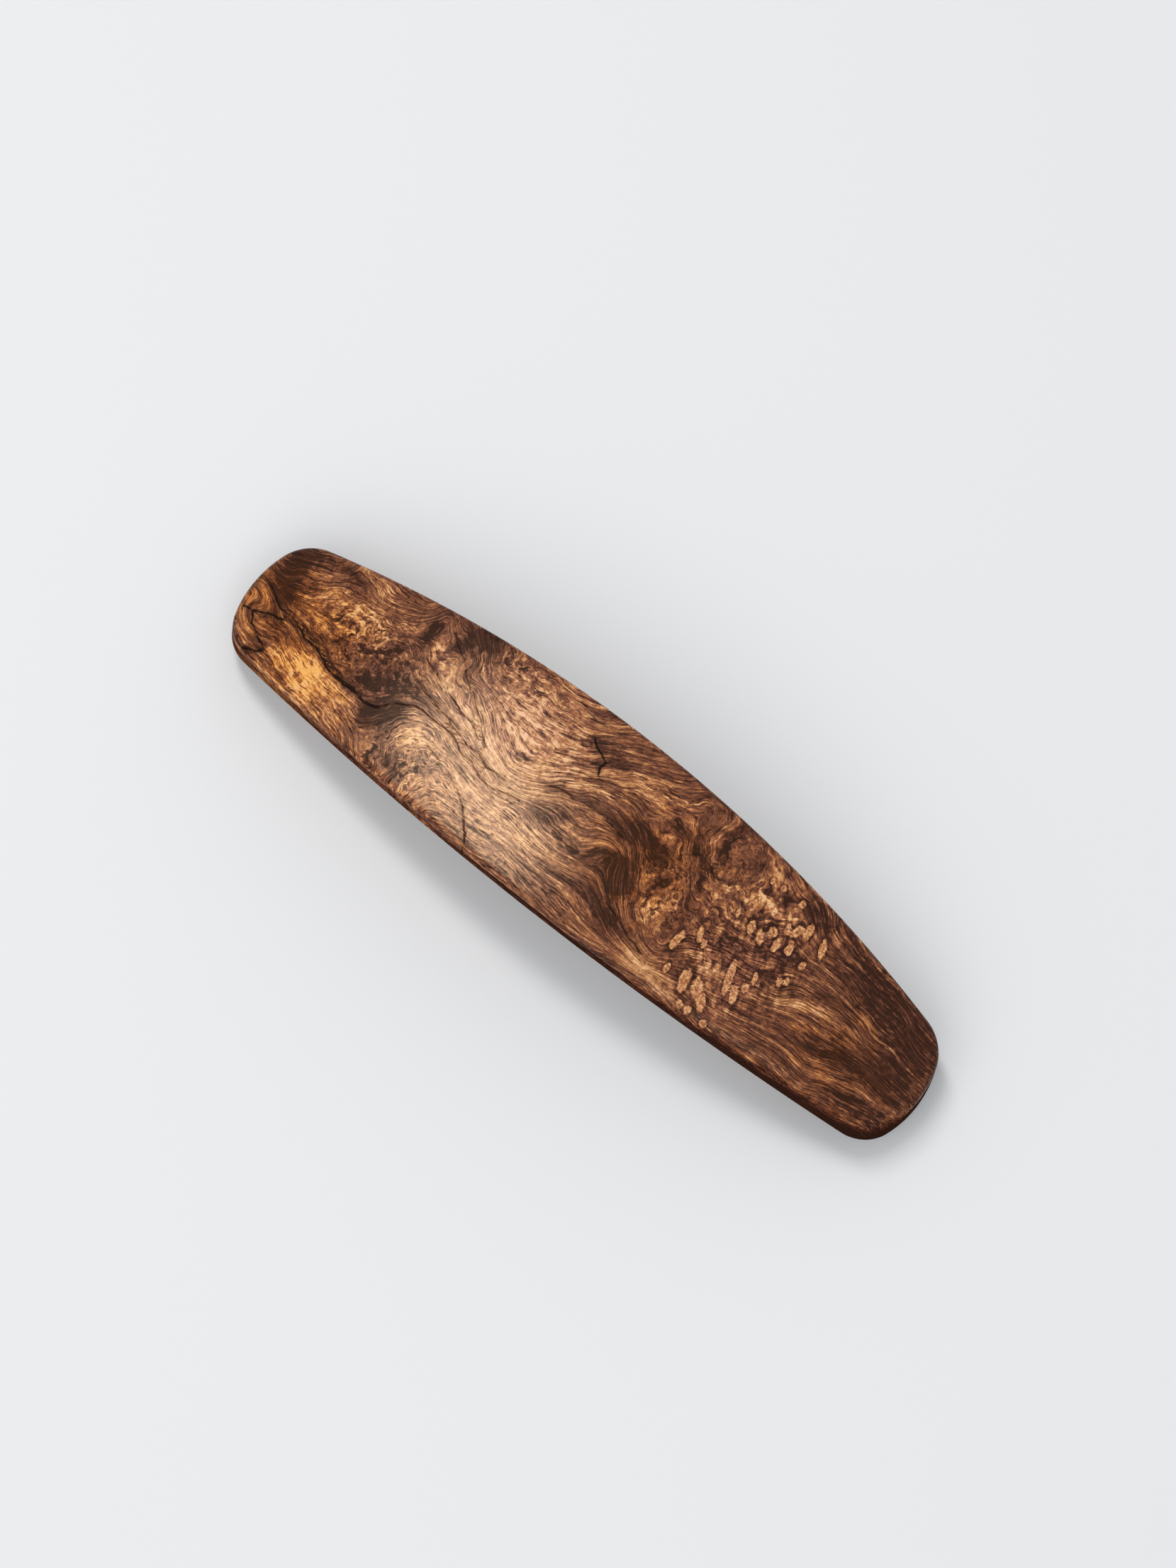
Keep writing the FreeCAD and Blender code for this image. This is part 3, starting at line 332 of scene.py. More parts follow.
# Long pale cells with a dark outline, on the right: (x, y, half length, half width, tilt in degrees).
PALE_CELLS = [
    (27.3, 5.5, 1.1, 0.5, 82),
    (28.4, 6.4, 1.2, 0.5, 98),
    (30.9, 6.0, 1.3, 0.45, 110),
    (26.3, 5.0, 0.8, 0.35, 105),
    (25.2, 3.5, 0.8, 0.6, 95),
    (26.4, 2.7, 1.0, 0.45, 98),
    (27.9, 3.2, 0.8, 0.5, 100),
    (30.3, 2.8, 0.65, 0.4, 90),
    (22.9, 2.3, 0.9, 0.5, 110),
    (24.4, 2.1, 1.1, 0.45, 125),
    (20.6, 2.7, 0.8, 0.3, 115),
    (29.4, -0.5, 0.8, 0.35, 115),
    (30.1, 0.1, 0.65, 0.3, 105),
    (18.8, -2.3, 1.1, 0.4, 115),
    (19.9, -2.9, 0.6, 0.3, 115),
    (24.6, -4.0, 2.3, 0.5, 110),
    (26.2, -5.2, 1.3, 0.5, 115),
    (27.0, -2.1, 0.9, 0.35, 110),
    (26.8, -3.7, 0.7, 0.4, 110),
    (20.7, -7.7, 1.6, 0.65, 108),
    (22.4, -7.5, 1.35, 0.75, 112),
    (23.9, -8.5, 1.15, 0.55, 112),
    (17.1, -4.6, 1.5, 0.5, 85),
    (18.2, -8.0, 0.7, 0.35, 95),
    (22.0, -10.2, 0.6, 0.45, 120),
    (23.2, -10.2, 0.6, 0.5, 90),
    (25.6, -10.2, 0.5, 0.5, 90),
    (22.9, 8.5, 0.5, 0.4, 100),
    (25.8, 8.5, 0.6, 0.45, 90),
    (21.4, 8.3, 0.45, 0.3, 100),
]


# ---- The wood's shape ----


def plan_arcs():
    """The quarter of the plan outline in +X +Y as arcs: (centre, radius, first angle, last angle)."""
    corner_x = WOOD_LENGTH / 2 - END_BULGE
    corner_y = END_WIDTH / 2
    side_rise = WOOD_WIDTH / 2 - corner_y
    side_radius = (corner_x ** 2 + side_rise ** 2) / (2 * side_rise)
    end_radius = (corner_y ** 2 + END_BULGE ** 2) / (2 * END_BULGE)
    side_centre = Vector((0, WOOD_WIDTH / 2 - side_radius))
    end_centre = Vector((WOOD_LENGTH / 2 - end_radius, 0))
    # The corner's centre is where the two circles, each smaller by the corner's radius, meet.
    from_side = side_radius - CORNER_RADIUS
    from_end = end_radius - CORNER_RADIUS
    gap = end_centre - side_centre
    along = (from_side ** 2 - from_end ** 2 + gap.length_squared) / (2 * gap.length)
    across = math.sqrt(from_side ** 2 - along ** 2)
    unit = gap.normalized()
    corner_centre = side_centre + unit * along + Vector((unit.y, -unit.x)) * across
    to_end = corner_centre - end_centre
    to_side = corner_centre - side_centre
    end_angle = math.atan2(to_end.y, to_end.x)
    side_angle = math.atan2(to_side.y, to_side.x)
    return [
        (end_centre, end_radius, 0.0, end_angle),
        (corner_centre, CORNER_RADIUS, end_angle, side_angle),
        (side_centre, side_radius, side_angle, math.pi / 2),
    ]


def quarter_outline(inset, end_steps, side_steps):
    """Points on the +X +Y quarter of the outline, from its end to its side, moved in by inset.

    end_steps run from the end to the middle of the corner, and side_steps from there to the side.
    """
    end, corner, side = plan_arcs()
    middle = (corner[2] + corner[3]) / 2
    points = []
    for arcs, steps in (
        ([end, (corner[0], corner[1], corner[2], middle)], end_steps),
        ([(corner[0], corner[1], middle, corner[3]), side], side_steps),
    ):
        lengths = [radius * (last - first) for _, radius, first, last in arcs]
        for place in np.linspace(0, sum(lengths), steps + 1)[: steps if arcs[0] is end else None]:
            centre, radius, first, _ = arcs[0] if place <= lengths[0] else arcs[1]
            angle = first + (place if place <= lengths[0] else place - lengths[0]) / radius
            points.append(centre + Vector((math.cos(angle), math.sin(angle))) * (radius - inset))
    return np.array(points)


def full_outline(inset, end_steps, side_steps):
    """The whole outline, anticlockwise from the middle of the +X end."""
    quarter = quarter_outline(inset, end_steps, side_steps)
    half = np.vstack([quarter, (quarter * [-1, 1])[::-1][1:]])
    return np.vstack([half, (half * [1, -1])[::-1][1:-1]])


def patch_inside(loop, end_steps, side_steps):
    """A grid that fills the outline, [across, along], blended from its four sides."""
    last_corner = 3 * end_steps + 2 * side_steps
    right = np.roll(loop, end_steps, axis=0)[: 2 * end_steps + 1]
    top = loop[end_steps: end_steps + 2 * side_steps + 1][::-1]
    left = loop[last_corner - 2 * end_steps: last_corner + 1][::-1]
    bottom = loop[last_corner: last_corner + 2 * side_steps + 1]
    u = np.linspace(0, 1, len(top))[None, :, None]
    v = np.linspace(0, 1, len(right))[:, None, None]
    blended = (1 - v) * bottom[None] + v * top[None] + (1 - u) * left[:, None] + u * right[:, None]
    low_corners = (1 - u) * bottom[0] + u * bottom[-1]
    high_corners = (1 - u) * top[0] + u * top[-1]
    return blended - (1 - v) * low_corners - v * high_corners


def top_height(x, y):
    """The height of the crowned, arched top face, before its rim is rounded."""
    crown = CROWN_RADIUS - np.sqrt(CROWN_RADIUS ** 2 - y ** 2)
    return BEND_AXIS_Z + np.sqrt((TOP_RADIUS - crown) ** 2 - x ** 2)


def underside_height(x):
    """The height of the arched underside."""
    return BEND_AXIS_Z + np.sqrt(UNDERSIDE_RADIUS ** 2 - x ** 2)


def rim_round(x, y):
    """The radius of the top edge, which is sanded off more at the front of the catch end."""
    sanded_more = np.clip((x - MORE_ROUND_FROM) / MORE_ROUND_OVER, 0, 1) * np.clip(-y / FRONT_REACH, 0, 1)
    return TOP_ROUND + (TOP_ROUND_MOST - TOP_ROUND) * sanded_more


def make_wood_mesh():
    """The wood as one closed mesh, in millimetres.

    Rings run from the top face over the rim, down the wall and round to the underside.
    """
    end_steps = round(END_WIDTH / 2 / GRID_STEP)
    side_steps = round(WOOD_LENGTH / 2 / GRID_STEP)
    outer = full_outline(0, end_steps, side_steps)
    outward = outer - full_outline(1, end_steps, side_steps)
    top_round = rim_round(outer[:, 0], outer[:, 1])
    quarter_turn = np.linspace(0, math.pi / 2, ROUND_STEPS + 1)
    rings = []
    for angle in quarter_turn:
        at = outer - outward * (top_round * (1 - math.sin(angle)))[:, None]
        rings.append(np.column_stack([at, top_height(*at.T) - top_round * (1 - math.cos(angle))]))
    low_rim = underside_height(outer[:, 0]) + BOTTOM_ROUND
    for share in np.linspace(0, 1, WALL_STEPS + 1)[1:-1]:
        rings.append(np.column_stack([outer, rings[ROUND_STEPS][:, 2] * (1 - share) + low_rim * share]))
    for angle in quarter_turn:
        at = outer - outward * BOTTOM_ROUND * (1 - math.cos(angle))
        height = underside_height(at[:, 0]) + BOTTOM_ROUND * (1 - math.sin(angle))
        rings.append(np.column_stack([at, height]))

    count = len(outer)
    faces = []
    for start in range(0, (len(rings) - 1) * count, count):
        for i in range(count):
            j = (i + 1) % count
            faces.append((start + i, start + count + i, start + count + j, start + j))
    points = np.vstack(rings)
    for ring, facing_up in ((0, True), (len(rings) - 1, False)):
        grid = patch_inside(rings[ring][:, :2], end_steps, side_steps)
        rows, columns = grid.shape[:2]
        flat = grid.reshape(-1, 2)
        heights = top_height(*flat.T) if facing_up else underside_height(flat[:, 0])
        numbering = len(points) + np.arange(rows * columns).reshape(rows, columns)
        # The grid's own border is the ring, so its points are the ring's.
        for i in range(2 * end_steps + 1):
            numbering[i, -1] = ring * count + (i - end_steps) % count
            numbering[i, 0] = ring * count + (count // 2 - i + end_steps) % count
        for i in range(2 * side_steps + 1):
            numbering[-1, columns - 1 - i] = ring * count + end_steps + i
            numbering[0, columns - 1 - i] = ring * count + (count - end_steps - i) % count
        points = np.vstack([points, np.column_stack([flat, heights])])
        for row in range(rows - 1):
            for column in range(columns - 1):
                face = (numbering[row, column], numbering[row, column + 1],
                        numbering[row + 1, column + 1], numbering[row + 1, column])
                faces.append(face if facing_up else face[::-1])
    return points, faces


# ---- The wood's figure ----


def falloff(x, y, at_x, at_y, reach_x, reach_y, tilt=0.0):
    """1 at a place, and less away from it, on a bell curve."""
    cos, sin = math.cos(math.radians(tilt)), math.sin(math.radians(tilt))
    along = ((x - at_x) * cos + (y - at_y) * sin) / reach_x
    across = ((y - at_y) * cos - (x - at_x) * sin) / reach_y
    return np.exp(-(along ** 2 + across ** 2))


def thin_plate(away_squared):
    """How strongly a point of a thin-plate spline pulls, by the square of the distance to it."""
    return away_squared * np.log(away_squared + 1e-12)


def across_grain(x, y):
    """How far across the grain a place is: a thin-plate spline through the grain lines."""
    at = np.array([point for _, points in GRAIN_LINES for point in points])
    value = np.array([value for value, points in GRAIN_LINES for _ in points])
    apart = ((at[:, None] - at[None]) ** 2).sum(axis=2)
    plane = np.column_stack([np.ones(len(at)), at])
    bending = thin_plate(apart) + GRAIN_SLACK * np.eye(len(at))
    system = np.block([[bending, plane], [plane.T, np.zeros((3, 3))]])
    pulls = np.linalg.solve(system, np.append(value, np.zeros(3)))
    across = pulls[-3] + pulls[-2] * x + pulls[-1] * y
    for (at_x, at_y), pull in zip(at, pulls):
        across += pull * thin_plate((x - at_x) ** 2 + (y - at_y) ** 2)
    return across


def wandering(points, chance):
    """A line with extra points between its own, each pushed a little to one side by chance."""
    for push in (0.10, 0.09, 0.08):
        longer = [points[0]]
        for (ax, ay), (bx, by) in zip(points, points[1:]):
            aside = push * chance.uniform(-1, 1)
            longer.append(((ax + bx) / 2 - aside * (by - ay), (ay + by) / 2 + aside * (bx - ax)))
            longer.append((bx, by))
        points = longer
    return points


def beside_line(x, y, start_width, end_width, points):
    """How far a place is to the left of a line, how far from it, its half width and where along it."""
    side = np.full(len(x), FAR)
    away = np.full(len(x), FAR)
    along = np.zeros(len(x))
    for i, ((ax, ay), (bx, by)) in enumerate(zip(points, points[1:])):
        run = (bx - ax) ** 2 + (by - ay) ** 2
        share = np.clip(((x - ax) * (bx - ax) + (y - ay) * (by - ay)) / run, 0, 1)
        here = np.hypot(x - ax - share * (bx - ax), y - ay - share * (by - ay))
        left = np.where((bx - ax) * (y - ay) - (by - ay) * (x - ax) > 0, here, -here)
        nearer = here < away
        side = np.where(nearer, left, side)
        along = np.where(nearer, (i + share) / (len(points) - 1), along)
        away = np.where(nearer, here, away)
    return side, away, start_width + along * (end_width - start_width), along


def veins_at(x, y):
    """The nearest vein to each place: how far to its side, how far away, its half width and darkness."""
    chance = np.random.default_rng(4)
    veins = [beside_line(x, y, start, end, wandering(points, chance)) for start, end, _, points in VEINS]
    side, away, width, along = (np.array(values) for values in zip(*veins))
    nearest = (away - width).argmin(axis=0)
    pick = nearest, np.arange(len(x))
    dark = np.array([dark for _, _, dark, _ in VEINS])[nearest]
    inside = (along[pick] > 0) & (along[pick] < 1)
    return {"vein_side": side[pick], "vein_away": away[pick], "vein_width": width[pick],
            "vein_dark": np.where(inside, dark, 0)}


def distance_to_oval(x, y, at_x, at_y, half_length, half_width, tilt):
    """How far a place is from an oval's middle, where 1 is on its edge."""
    cos, sin = math.cos(math.radians(tilt)), math.sin(math.radians(tilt))
    along = ((x - at_x) * cos + (y - at_y) * sin) / half_length
    across = ((y - at_y) * cos - (x - at_x) * sin) / half_width
    return np.hypot(along, across)


def nearest_of(distances, amounts):
    """At each place the least of the distances, held to FAR, and the amount that goes with it."""
    distances = np.array(distances)
    which = distances.argmin(axis=0)
    return np.minimum(distances.min(axis=0), FAR), np.array(amounts)[which]


def figure_at(x, y):
    """The wood's figure at each place, as named values for the material."""
    eye, eye_dark = nearest_of(
        [distance_to_oval(x, y, *oval) for *oval, _ in BIRDS_EYES],
        [dark for *_, dark in BIRDS_EYES])
    cell, _ = nearest_of([distance_to_oval(x, y, *oval) for oval in PALE_CELLS], [1] * len(PALE_CELLS))
    return {
        "across_grain": across_grain(x, y),
        "tone_and_sheen": sum(more * falloff(x, y, *place) for *place, more in TONE_AND_SHEEN_PATCHES),
        "warmth": sum(more * falloff(x, y, *place) for *place, more in WARMTH_PATCHES),
        "burl": np.clip(sum(more * falloff(x, y, *place) for *place, more in BURL_PATCHES), 0, 1),
        "feather": np.clip(sum(more * falloff(x, y, *place) for *place, more in FEATHER_PATCHES), 0, 1),
        **veins_at(x, y),
        "birds_eye": eye,
        "birds_eye_dark": eye_dark,
        "pale_cell": cell,
    }


def make_wood_face():
    """The wood as a smooth mesh that carries its figure as attributes."""
    points, faces = make_wood_mesh()
    mesh = bpy.data.meshes.new("wood_face")
    mesh.from_pydata((points * MM).tolist(), [], faces)
    mesh.update()
    x, y, z = points.T
    figure = figure_at(x, y)
    figure["depth"] = top_height(x, y) - z
    for name, values in figure.items():
        mesh.attributes.new(name, "FLOAT", "POINT").data.foreach_set("value", values.astype(np.float32))
    wood = bpy.data.objects.new("wood_face", mesh)
    bpy.context.scene.collection.objects.link(wood)
    remove_loose_points(mesh)
    mesh.polygons.foreach_set("use_smooth", [True] * len(mesh.polygons))
    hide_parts("wood_top")
    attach(wood, "barrette")
    return wood


def remove_loose_points(mesh):
    """Deletes the points that no face uses."""
    work = bmesh.new()
    work.from_mesh(mesh)
    loose = [point for point in work.verts if not point.link_faces]
    bmesh.ops.delete(work, geom=loose, context="VERTS")
    work.to_mesh(mesh)
    work.free()


# ---- Materials ----


class Nodes:
    """A material's node tree, with short calls for the nodes used here."""

    def __init__(self, name):
        self.material = bpy.data.materials.new(name)
        self.material.use_nodes = True
        self.tree = self.material.node_tree
        self.shader = self.tree.nodes["Principled BSDF"]

    def add(self, kind, inputs=None, **settings):
        """A node, with its settings, and inputs by name or number that are values or other outputs."""
        node = self.tree.nodes.new(kind)
        for name, value in settings.items():
            setattr(node, name, value)
        for key, value in (inputs or {}).items():
            self.feed(node.inputs[key], value)
        return node

    def feed(self, socket, value):
        """Links another output to a socket, or sets the socket to a value."""
        if isinstance(value, bpy.types.NodeSocket):
            self.tree.links.new(value, socket)
        else:
            socket.default_value = value

    def math(self, operation, a, b=0.0, c=0.0, clamp=False):
        node = self.add("ShaderNodeMath", {0: a, 1: b, 2: c}, operation=operation, use_clamp=clamp)
        return node.outputs[0]

    def attribute(self, name):
        return self.add("ShaderNodeAttribute", attribute_name=name).outputs["Fac"]

    def vector(self, x, y, z=0.0):
        return self.add("ShaderNodeCombineXYZ", {0: x, 1: y, 2: z}).outputs[0]

    def noise(self, place, scale, detail=2.0, roughness=0.5, distortion=0.0):
        inputs = {"Vector": place, "Scale": scale, "Detail": detail, "Roughness": roughness,
                  "Distortion": distortion}
        return self.add("ShaderNodeTexNoise", inputs).outputs["Fac"]

    def centred(self, value):
        """A noise value moved to lie about 0."""
        return self.math("SUBTRACT", value, 0.5)

    def grain(self, along, across, depth, along_scale, across_scale, detail, roughness):
        """Noise that is drawn out along the grain."""
        place = self.vector(self.math("MULTIPLY", along, along_scale),
                            self.math("MULTIPLY", across, across_scale),
                            self.math("MULTIPLY", depth, 0.6 * across_scale))
        return self.noise(place, 1.0, detail, roughness)

    def mix_of(self, *parts):
        """The sum of noise values, each centred on 0 and then scaled."""
        total = 0.0
        for value, amount in parts:
            total = self.math("MULTIPLY_ADD", self.centred(value), amount, total)
        return total

    def warp(self, place, amount, scale):
        """A place pushed in all directions by noise."""
        inputs = {"Vector": place, "Scale": scale, "Detail": 3.0}
        push = self.add("ShaderNodeTexNoise", inputs).outputs["Color"]
        push = self.add("ShaderNodeVectorMath", {0: push, 1: (0.5,) * 3}, operation="SUBTRACT").outputs[0]
        return self.add("ShaderNodeVectorMath", {0: push, 1: (2 * amount,) * 3, 2: place},
                        operation="MULTIPLY_ADD").outputs[0]

    def span(self, value, low, high, to_low=0.0, to_high=1.0):
        """value taken from low..high to to_low..to_high, smoothly, and held beyond them."""
        inputs = {"Value": value, "From Min": low, "From Max": high, "To Min": to_low, "To Max": to_high}
        node = self.add("ShaderNodeMapRange", inputs, interpolation_type="SMOOTHSTEP")
        return node.outputs["Result"]

    def blend(self, share, a, b, how="MIX"):
        """Two colours mixed by share."""
        node = self.add("ShaderNodeMix", data_type="RGBA", blend_type=how)
        for socket, value in zip((node.inputs[0], node.inputs[6], node.inputs[7]), (share, a, b)):
            self.feed(socket, value)
        return node.outputs[2]

    def ramp(self, value, stops):
        node = self.add("ShaderNodeValToRGB", {0: value})
        elements = node.color_ramp.elements
        while len(elements) < len(stops):
            elements.new(0.5)
        for element, (place, colour) in zip(elements, stops):
            element.position = place
            element.color = (*colour, 1)
        return node.outputs["Color"]

    def bump(self, height, distance):
        inputs = {"Height": height, "Distance": distance, "Strength": 1.0}
        return self.add("ShaderNodeBump", inputs).outputs["Normal"]


def make_burl_material():
    """Satin burl wood: swirled grain, bird's-eyes, pale cells, dark lines and pores, with painted shade
    on the wall and some painted sheen.
    """
    n = Nodes("burl_wood")
    place = n.add("ShaderNodeTexCoord").outputs["Object"]
    to_mm = (1 / MM,) * 3
    spot = n.add("ShaderNodeVectorMath", {0: place, 1: to_mm}, operation="MULTIPLY").outputs[0]
    along = n.add("ShaderNodeSeparateXYZ", {0: spot}).outputs["X"]
    depth = n.attribute("depth")
    burl = n.attribute("burl")

    # The grain: a place along and across it, pushed about by noise, more so where the wood is burly.
    sway = n.centred(n.noise(spot, 0.14, 1.0))
    ripple = n.centred(n.noise(spot, 0.55, 1.5, 0.5))
    curl = n.centred(n.noise(spot, 1.5, 2.0, 0.5))
    across = n.math("MULTIPLY_ADD", sway, 1.5, n.attribute("across_grain"))
    across = n.math("MULTIPLY_ADD", ripple, n.span(burl, 0, 1, 0.25, 2.3), across)
    across = n.math("MULTIPLY_ADD", curl, n.span(burl, 0, 1, 0.06, 0.6), across)
    bands = n.grain(along, across, depth, 0.05, 0.42, 3.0, 0.55)
    lines = n.grain(along, across, depth, 0.12, 1.7, 4.0, 0.62)
    strands = n.grain(along, across, depth, 0.36, 5.0, 3.0, 0.62)
    hairs = n.grain(along, across, depth, 1.2, 13.0, 2.0, 0.6)
    mottle = n.noise(spot, 0.85, 7.0, 0.68, 1.4)

    straight = n.mix_of((bands, 1.0), (lines, 1.4), (strands, 1.45), (hairs, 1.2), (mottle, 0.5))
    swirled = n.mix_of((mottle, 2.4), (lines, 0.8), (strands, 0.8), (hairs, 0.7))
    figure = n.math("MULTIPLY_ADD", n.math("SUBTRACT", swirled, straight), burl, straight)
    # Tone: lighter and darker wood, and in the band from x −22 to −5 partly painted sheen.
    tone_and_sheen = n.attribute("tone_and_sheen")
    edge = n.centred(n.noise(spot, 1.3, 5.0, 0.7))
    tone_and_sheen = n.math("MULTIPLY_ADD", n.math("MULTIPLY", n.math("ABSOLUTE", tone_and_sheen), edge), 2.6, tone_and_sheen)
    figure = n.math("MULTIPLY_ADD", tone_and_sheen, 0.50, n.math("ADD", figure, 0.46))
    blotch = n.math("MULTIPLY_ADD", n.centred(strands), 0.5, tone_and_sheen)
    figure = n.math("MULTIPLY_ADD", n.span(blotch, -0.26, -0.44), -0.20, figure)
    figure = n.math("MULTIPLY_ADD", n.span(blotch, 0.38, 0.62), 0.06, figure)

    # Even the darkest wood keeps a fine grain.
    darkest = n.math("ADD", n.mix_of((lines, 0.9), (strands, 1.5), (hairs, 0.7), (mottle, 0.5)), 0.10)
    figure = n.math("SMOOTH_MAX", figure, darkest, 0.10)

    # Thin dark growth lines that follow the grain and come and go.
    ridge = n.math("ABSOLUTE", n.centred(n.grain(along, across, depth, 0.09, 1.25, 2.0, 0.5)))
    growth = n.span(ridge, 0.030, 0.006)
    growth = n.math("MULTIPLY", growth, n.span(n.noise(spot, 0.45, 3.0, 0.6), 0.40, 0.62))
    figure = n.math("MULTIPLY_ADD", growth, -0.32, figure)

    # Dark flecks along the grain.
    flecks = n.span(n.grain(along, across, depth, 0.75, 6.5, 2.0, 0.55), 0.56, 0.66)
    figure = n.math("MULTIPLY_ADD", flecks, -0.20, figure)
    strokes = n.span(n.grain(along, across, depth, 0.30, 4.6, 1.0, 0.5), 0.60, 0.655)
    strokes = n.math("MULTIPLY", strokes, n.span(n.noise(spot, 0.7, 2.0, 0.5), 0.42, 0.55))
    figure = n.math("MULTIPLY_ADD", strokes, -0.38, figure)
    streaks = n.span(n.grain(along, across, depth, 0.26, 3.8, 1.0, 0.5), 0.37, 0.31)
    figure = n.math("MULTIPLY_ADD", streaks, 0.14, figure)

    # Dark specks in the burl.
    specks = n.math("MULTIPLY", n.span(n.noise(n.warp(spot, 0.5, 0.9), 1.25, 4.0, 0.7), 0.56, 0.64), burl)
    figure = n.math("MULTIPLY_ADD", specks, -0.30, figure)

    # Knots in the burl: small dark cores, each inside a paler ring.
    knot = n.add("ShaderNodeTexVoronoi", {"Vector": n.warp(spot, 1.0, 1.3), "Scale": 0.62})
    chosen = n.span(n.add("ShaderNodeSeparateColor", {0: knot.outputs["Color"]}).outputs[0], 0.35, 0.55)
    chosen = n.math("MULTIPLY", chosen, n.span(burl, 0.35, 0.7))
    ring = n.math("MULTIPLY", n.span(knot.outputs["Distance"], 0.62, 0.44), chosen)
    core = n.math("MULTIPLY", n.span(knot.outputs["Distance"], 0.38, 0.22), chosen)
    figure = n.math("MULTIPLY_ADD", ring, 0.12, figure)
    figure = n.math("MULTIPLY_ADD", core, -0.42, figure)

    # Bird's-eyes: a dark core inside a pale ring.
    wobble = n.centred(n.noise(spot, 1.7, 3.0, 0.6))
    eye = n.math("MULTIPLY_ADD", wobble, 1.6, n.attribute("birds_eye"))
    eye_dark = n.attribute("birds_eye_dark")
    halo = n.math("MULTIPLY", n.span(eye, 2.0, 1.4), eye_dark)
    core = n.math("MULTIPLY", n.span(eye, 1.2, 0.85), eye_dark)
    middle = n.math("MULTIPLY", n.span(eye, 0.6, 0.3), eye_dark)
    figure = n.math("MULTIPLY_ADD", halo, 0.16, figure)
    figure = n.math("MULTIPLY_ADD", core, -0.38, figure)
    figure = n.math("MULTIPLY_ADD", middle, 0.20, figure)

    # Feathers: slanting cells between dark outlines, some of them pale.
    slanted = n.add("ShaderNodeMapping", {"Vector": n.warp(spot, 0.4, 1.1), "Rotation": (0, 0, 1.88),
                                          "Scale": (1.45, 0.62, 1.0)}, vector_type="TEXTURE").outputs[0]
    scale = n.add("ShaderNodeTexVoronoi", {"Vector": slanted, "Scale": 1.0, "Randomness": 0.85})
    lightness = n.add("ShaderNodeSeparateColor", {0: scale.outputs["Color"]}).outputs[0]
    feather = n.attribute("feather")
    shift = n.math("MULTIPLY_ADD", n.span(scale.outputs["Distance"], 0.34, 0.60), -0.26,
                   n.span(lightness, 0.35, 0.9, -0.05, 0.32))
    figure = n.math("MULTIPLY_ADD", n.math("MULTIPLY", feather, shift), 0.9, figure)

    # Pale cells: a dark outline, a tan body and a speckled middle.
    cell = n.math("MULTIPLY_ADD", wobble, 1.1, n.attribute("pale_cell"))
    inside = n.span(cell, 1.12, 0.85)
    body = n.math("MULTIPLY_ADD", n.centred(n.noise(spot, 3.2, 3.0, 0.7)), 1.5, 0.80)
    body = n.math("MULTIPLY_ADD", n.span(cell, 0.5, 0.2), -0.12, body)
    figure = n.math("MULTIPLY_ADD", n.span(cell, 1.8, 1.1), -0.26, figure)
    figure = n.math("MULTIPLY_ADD", inside, n.math("SUBTRACT", body, figure), figure)

    # Painted shade: the wall, turned away from the light, is darkened below the face, most of all towards
    # the catch end.
    wall = n.span(depth, 0.35, 1.6)
    figure = n.math("MULTIPLY_ADD", wall, n.span(along, -20, 12, -0.16, -0.50), figure)

    colour = n.ramp(figure, [
        (0.00, (0.028, 0.011, 0.007)),
        (0.18, (0.060, 0.020, 0.012)),
        (0.36, (0.104, 0.035, 0.019)),
        (0.52, (0.172, 0.059, 0.029)),
        (0.66, (0.290, 0.102, 0.038)),
        (0.80, (0.440, 0.190, 0.072)),
        (0.92, (0.590, 0.310, 0.130)),
        (1.00, (0.680, 0.400, 0.190)),
    ])
    warmth = n.math("MULTIPLY_ADD", n.centred(n.noise(spot, 0.6, 4.0, 0.6)), 1.6, n.attribute("warmth"))
    orange = n.blend(1.0, colour, (1.12, 0.94, 0.52, 1), "MULTIPLY")
    rosy = n.blend(1.0, colour, (1.02, 1.02, 1.30, 1), "MULTIPLY")
    colour = n.blend(n.span(warmth, 0, 1), colour, orange)
    colour = n.blend(n.span(warmth, 0, -1), colour, rosy)

    # Dark lines, frayed at their edges and stained on both sides.
    fray = n.centred(n.noise(spot, 1.1, 4.0, 0.65))
    width = n.math("MULTIPLY_ADD", fray, 0.36, n.attribute("vein_width"))
    away = n.attribute("vein_away")
    fading = n.span(n.noise(spot, 0.5, 3.0, 0.6), 0.32, 0.5, 0.4, 1)
    patchy = n.math("MULTIPLY", n.attribute("vein_dark"), fading)
    stain = n.math("MULTIPLY", n.span(n.math("SUBTRACT", away, width), 0.7, 0.0, 0, 0.40), patchy)
    vein = n.math("SUBTRACT", n.math("ABSOLUTE", n.attribute("vein_side")), width)
    near = n.span(n.math("SUBTRACT", away, width), 0.32, 0.18)
    line = n.math("MULTIPLY", n.math("MULTIPLY", n.span(vein, 0.06, -0.05, 0, 0.95), near), patchy)
    colour = n.blend(stain, colour, (0.045, 0.016, 0.009, 1))
    colour = n.blend(line, colour, (0.009, 0.006, 0.005, 1))

    # Pores: short dark dashes along the grain.
    pores = n.span(n.grain(along, across, depth, 1.5, 10.0, 1.0, 0.5), 0.645, 0.70)
    colour = n.blend(n.math("MULTIPLY", pores, 0.6), colour, (0.022, 0.009, 0.007, 1))
    n.feed(n.shader.inputs["Base Color"], colour)

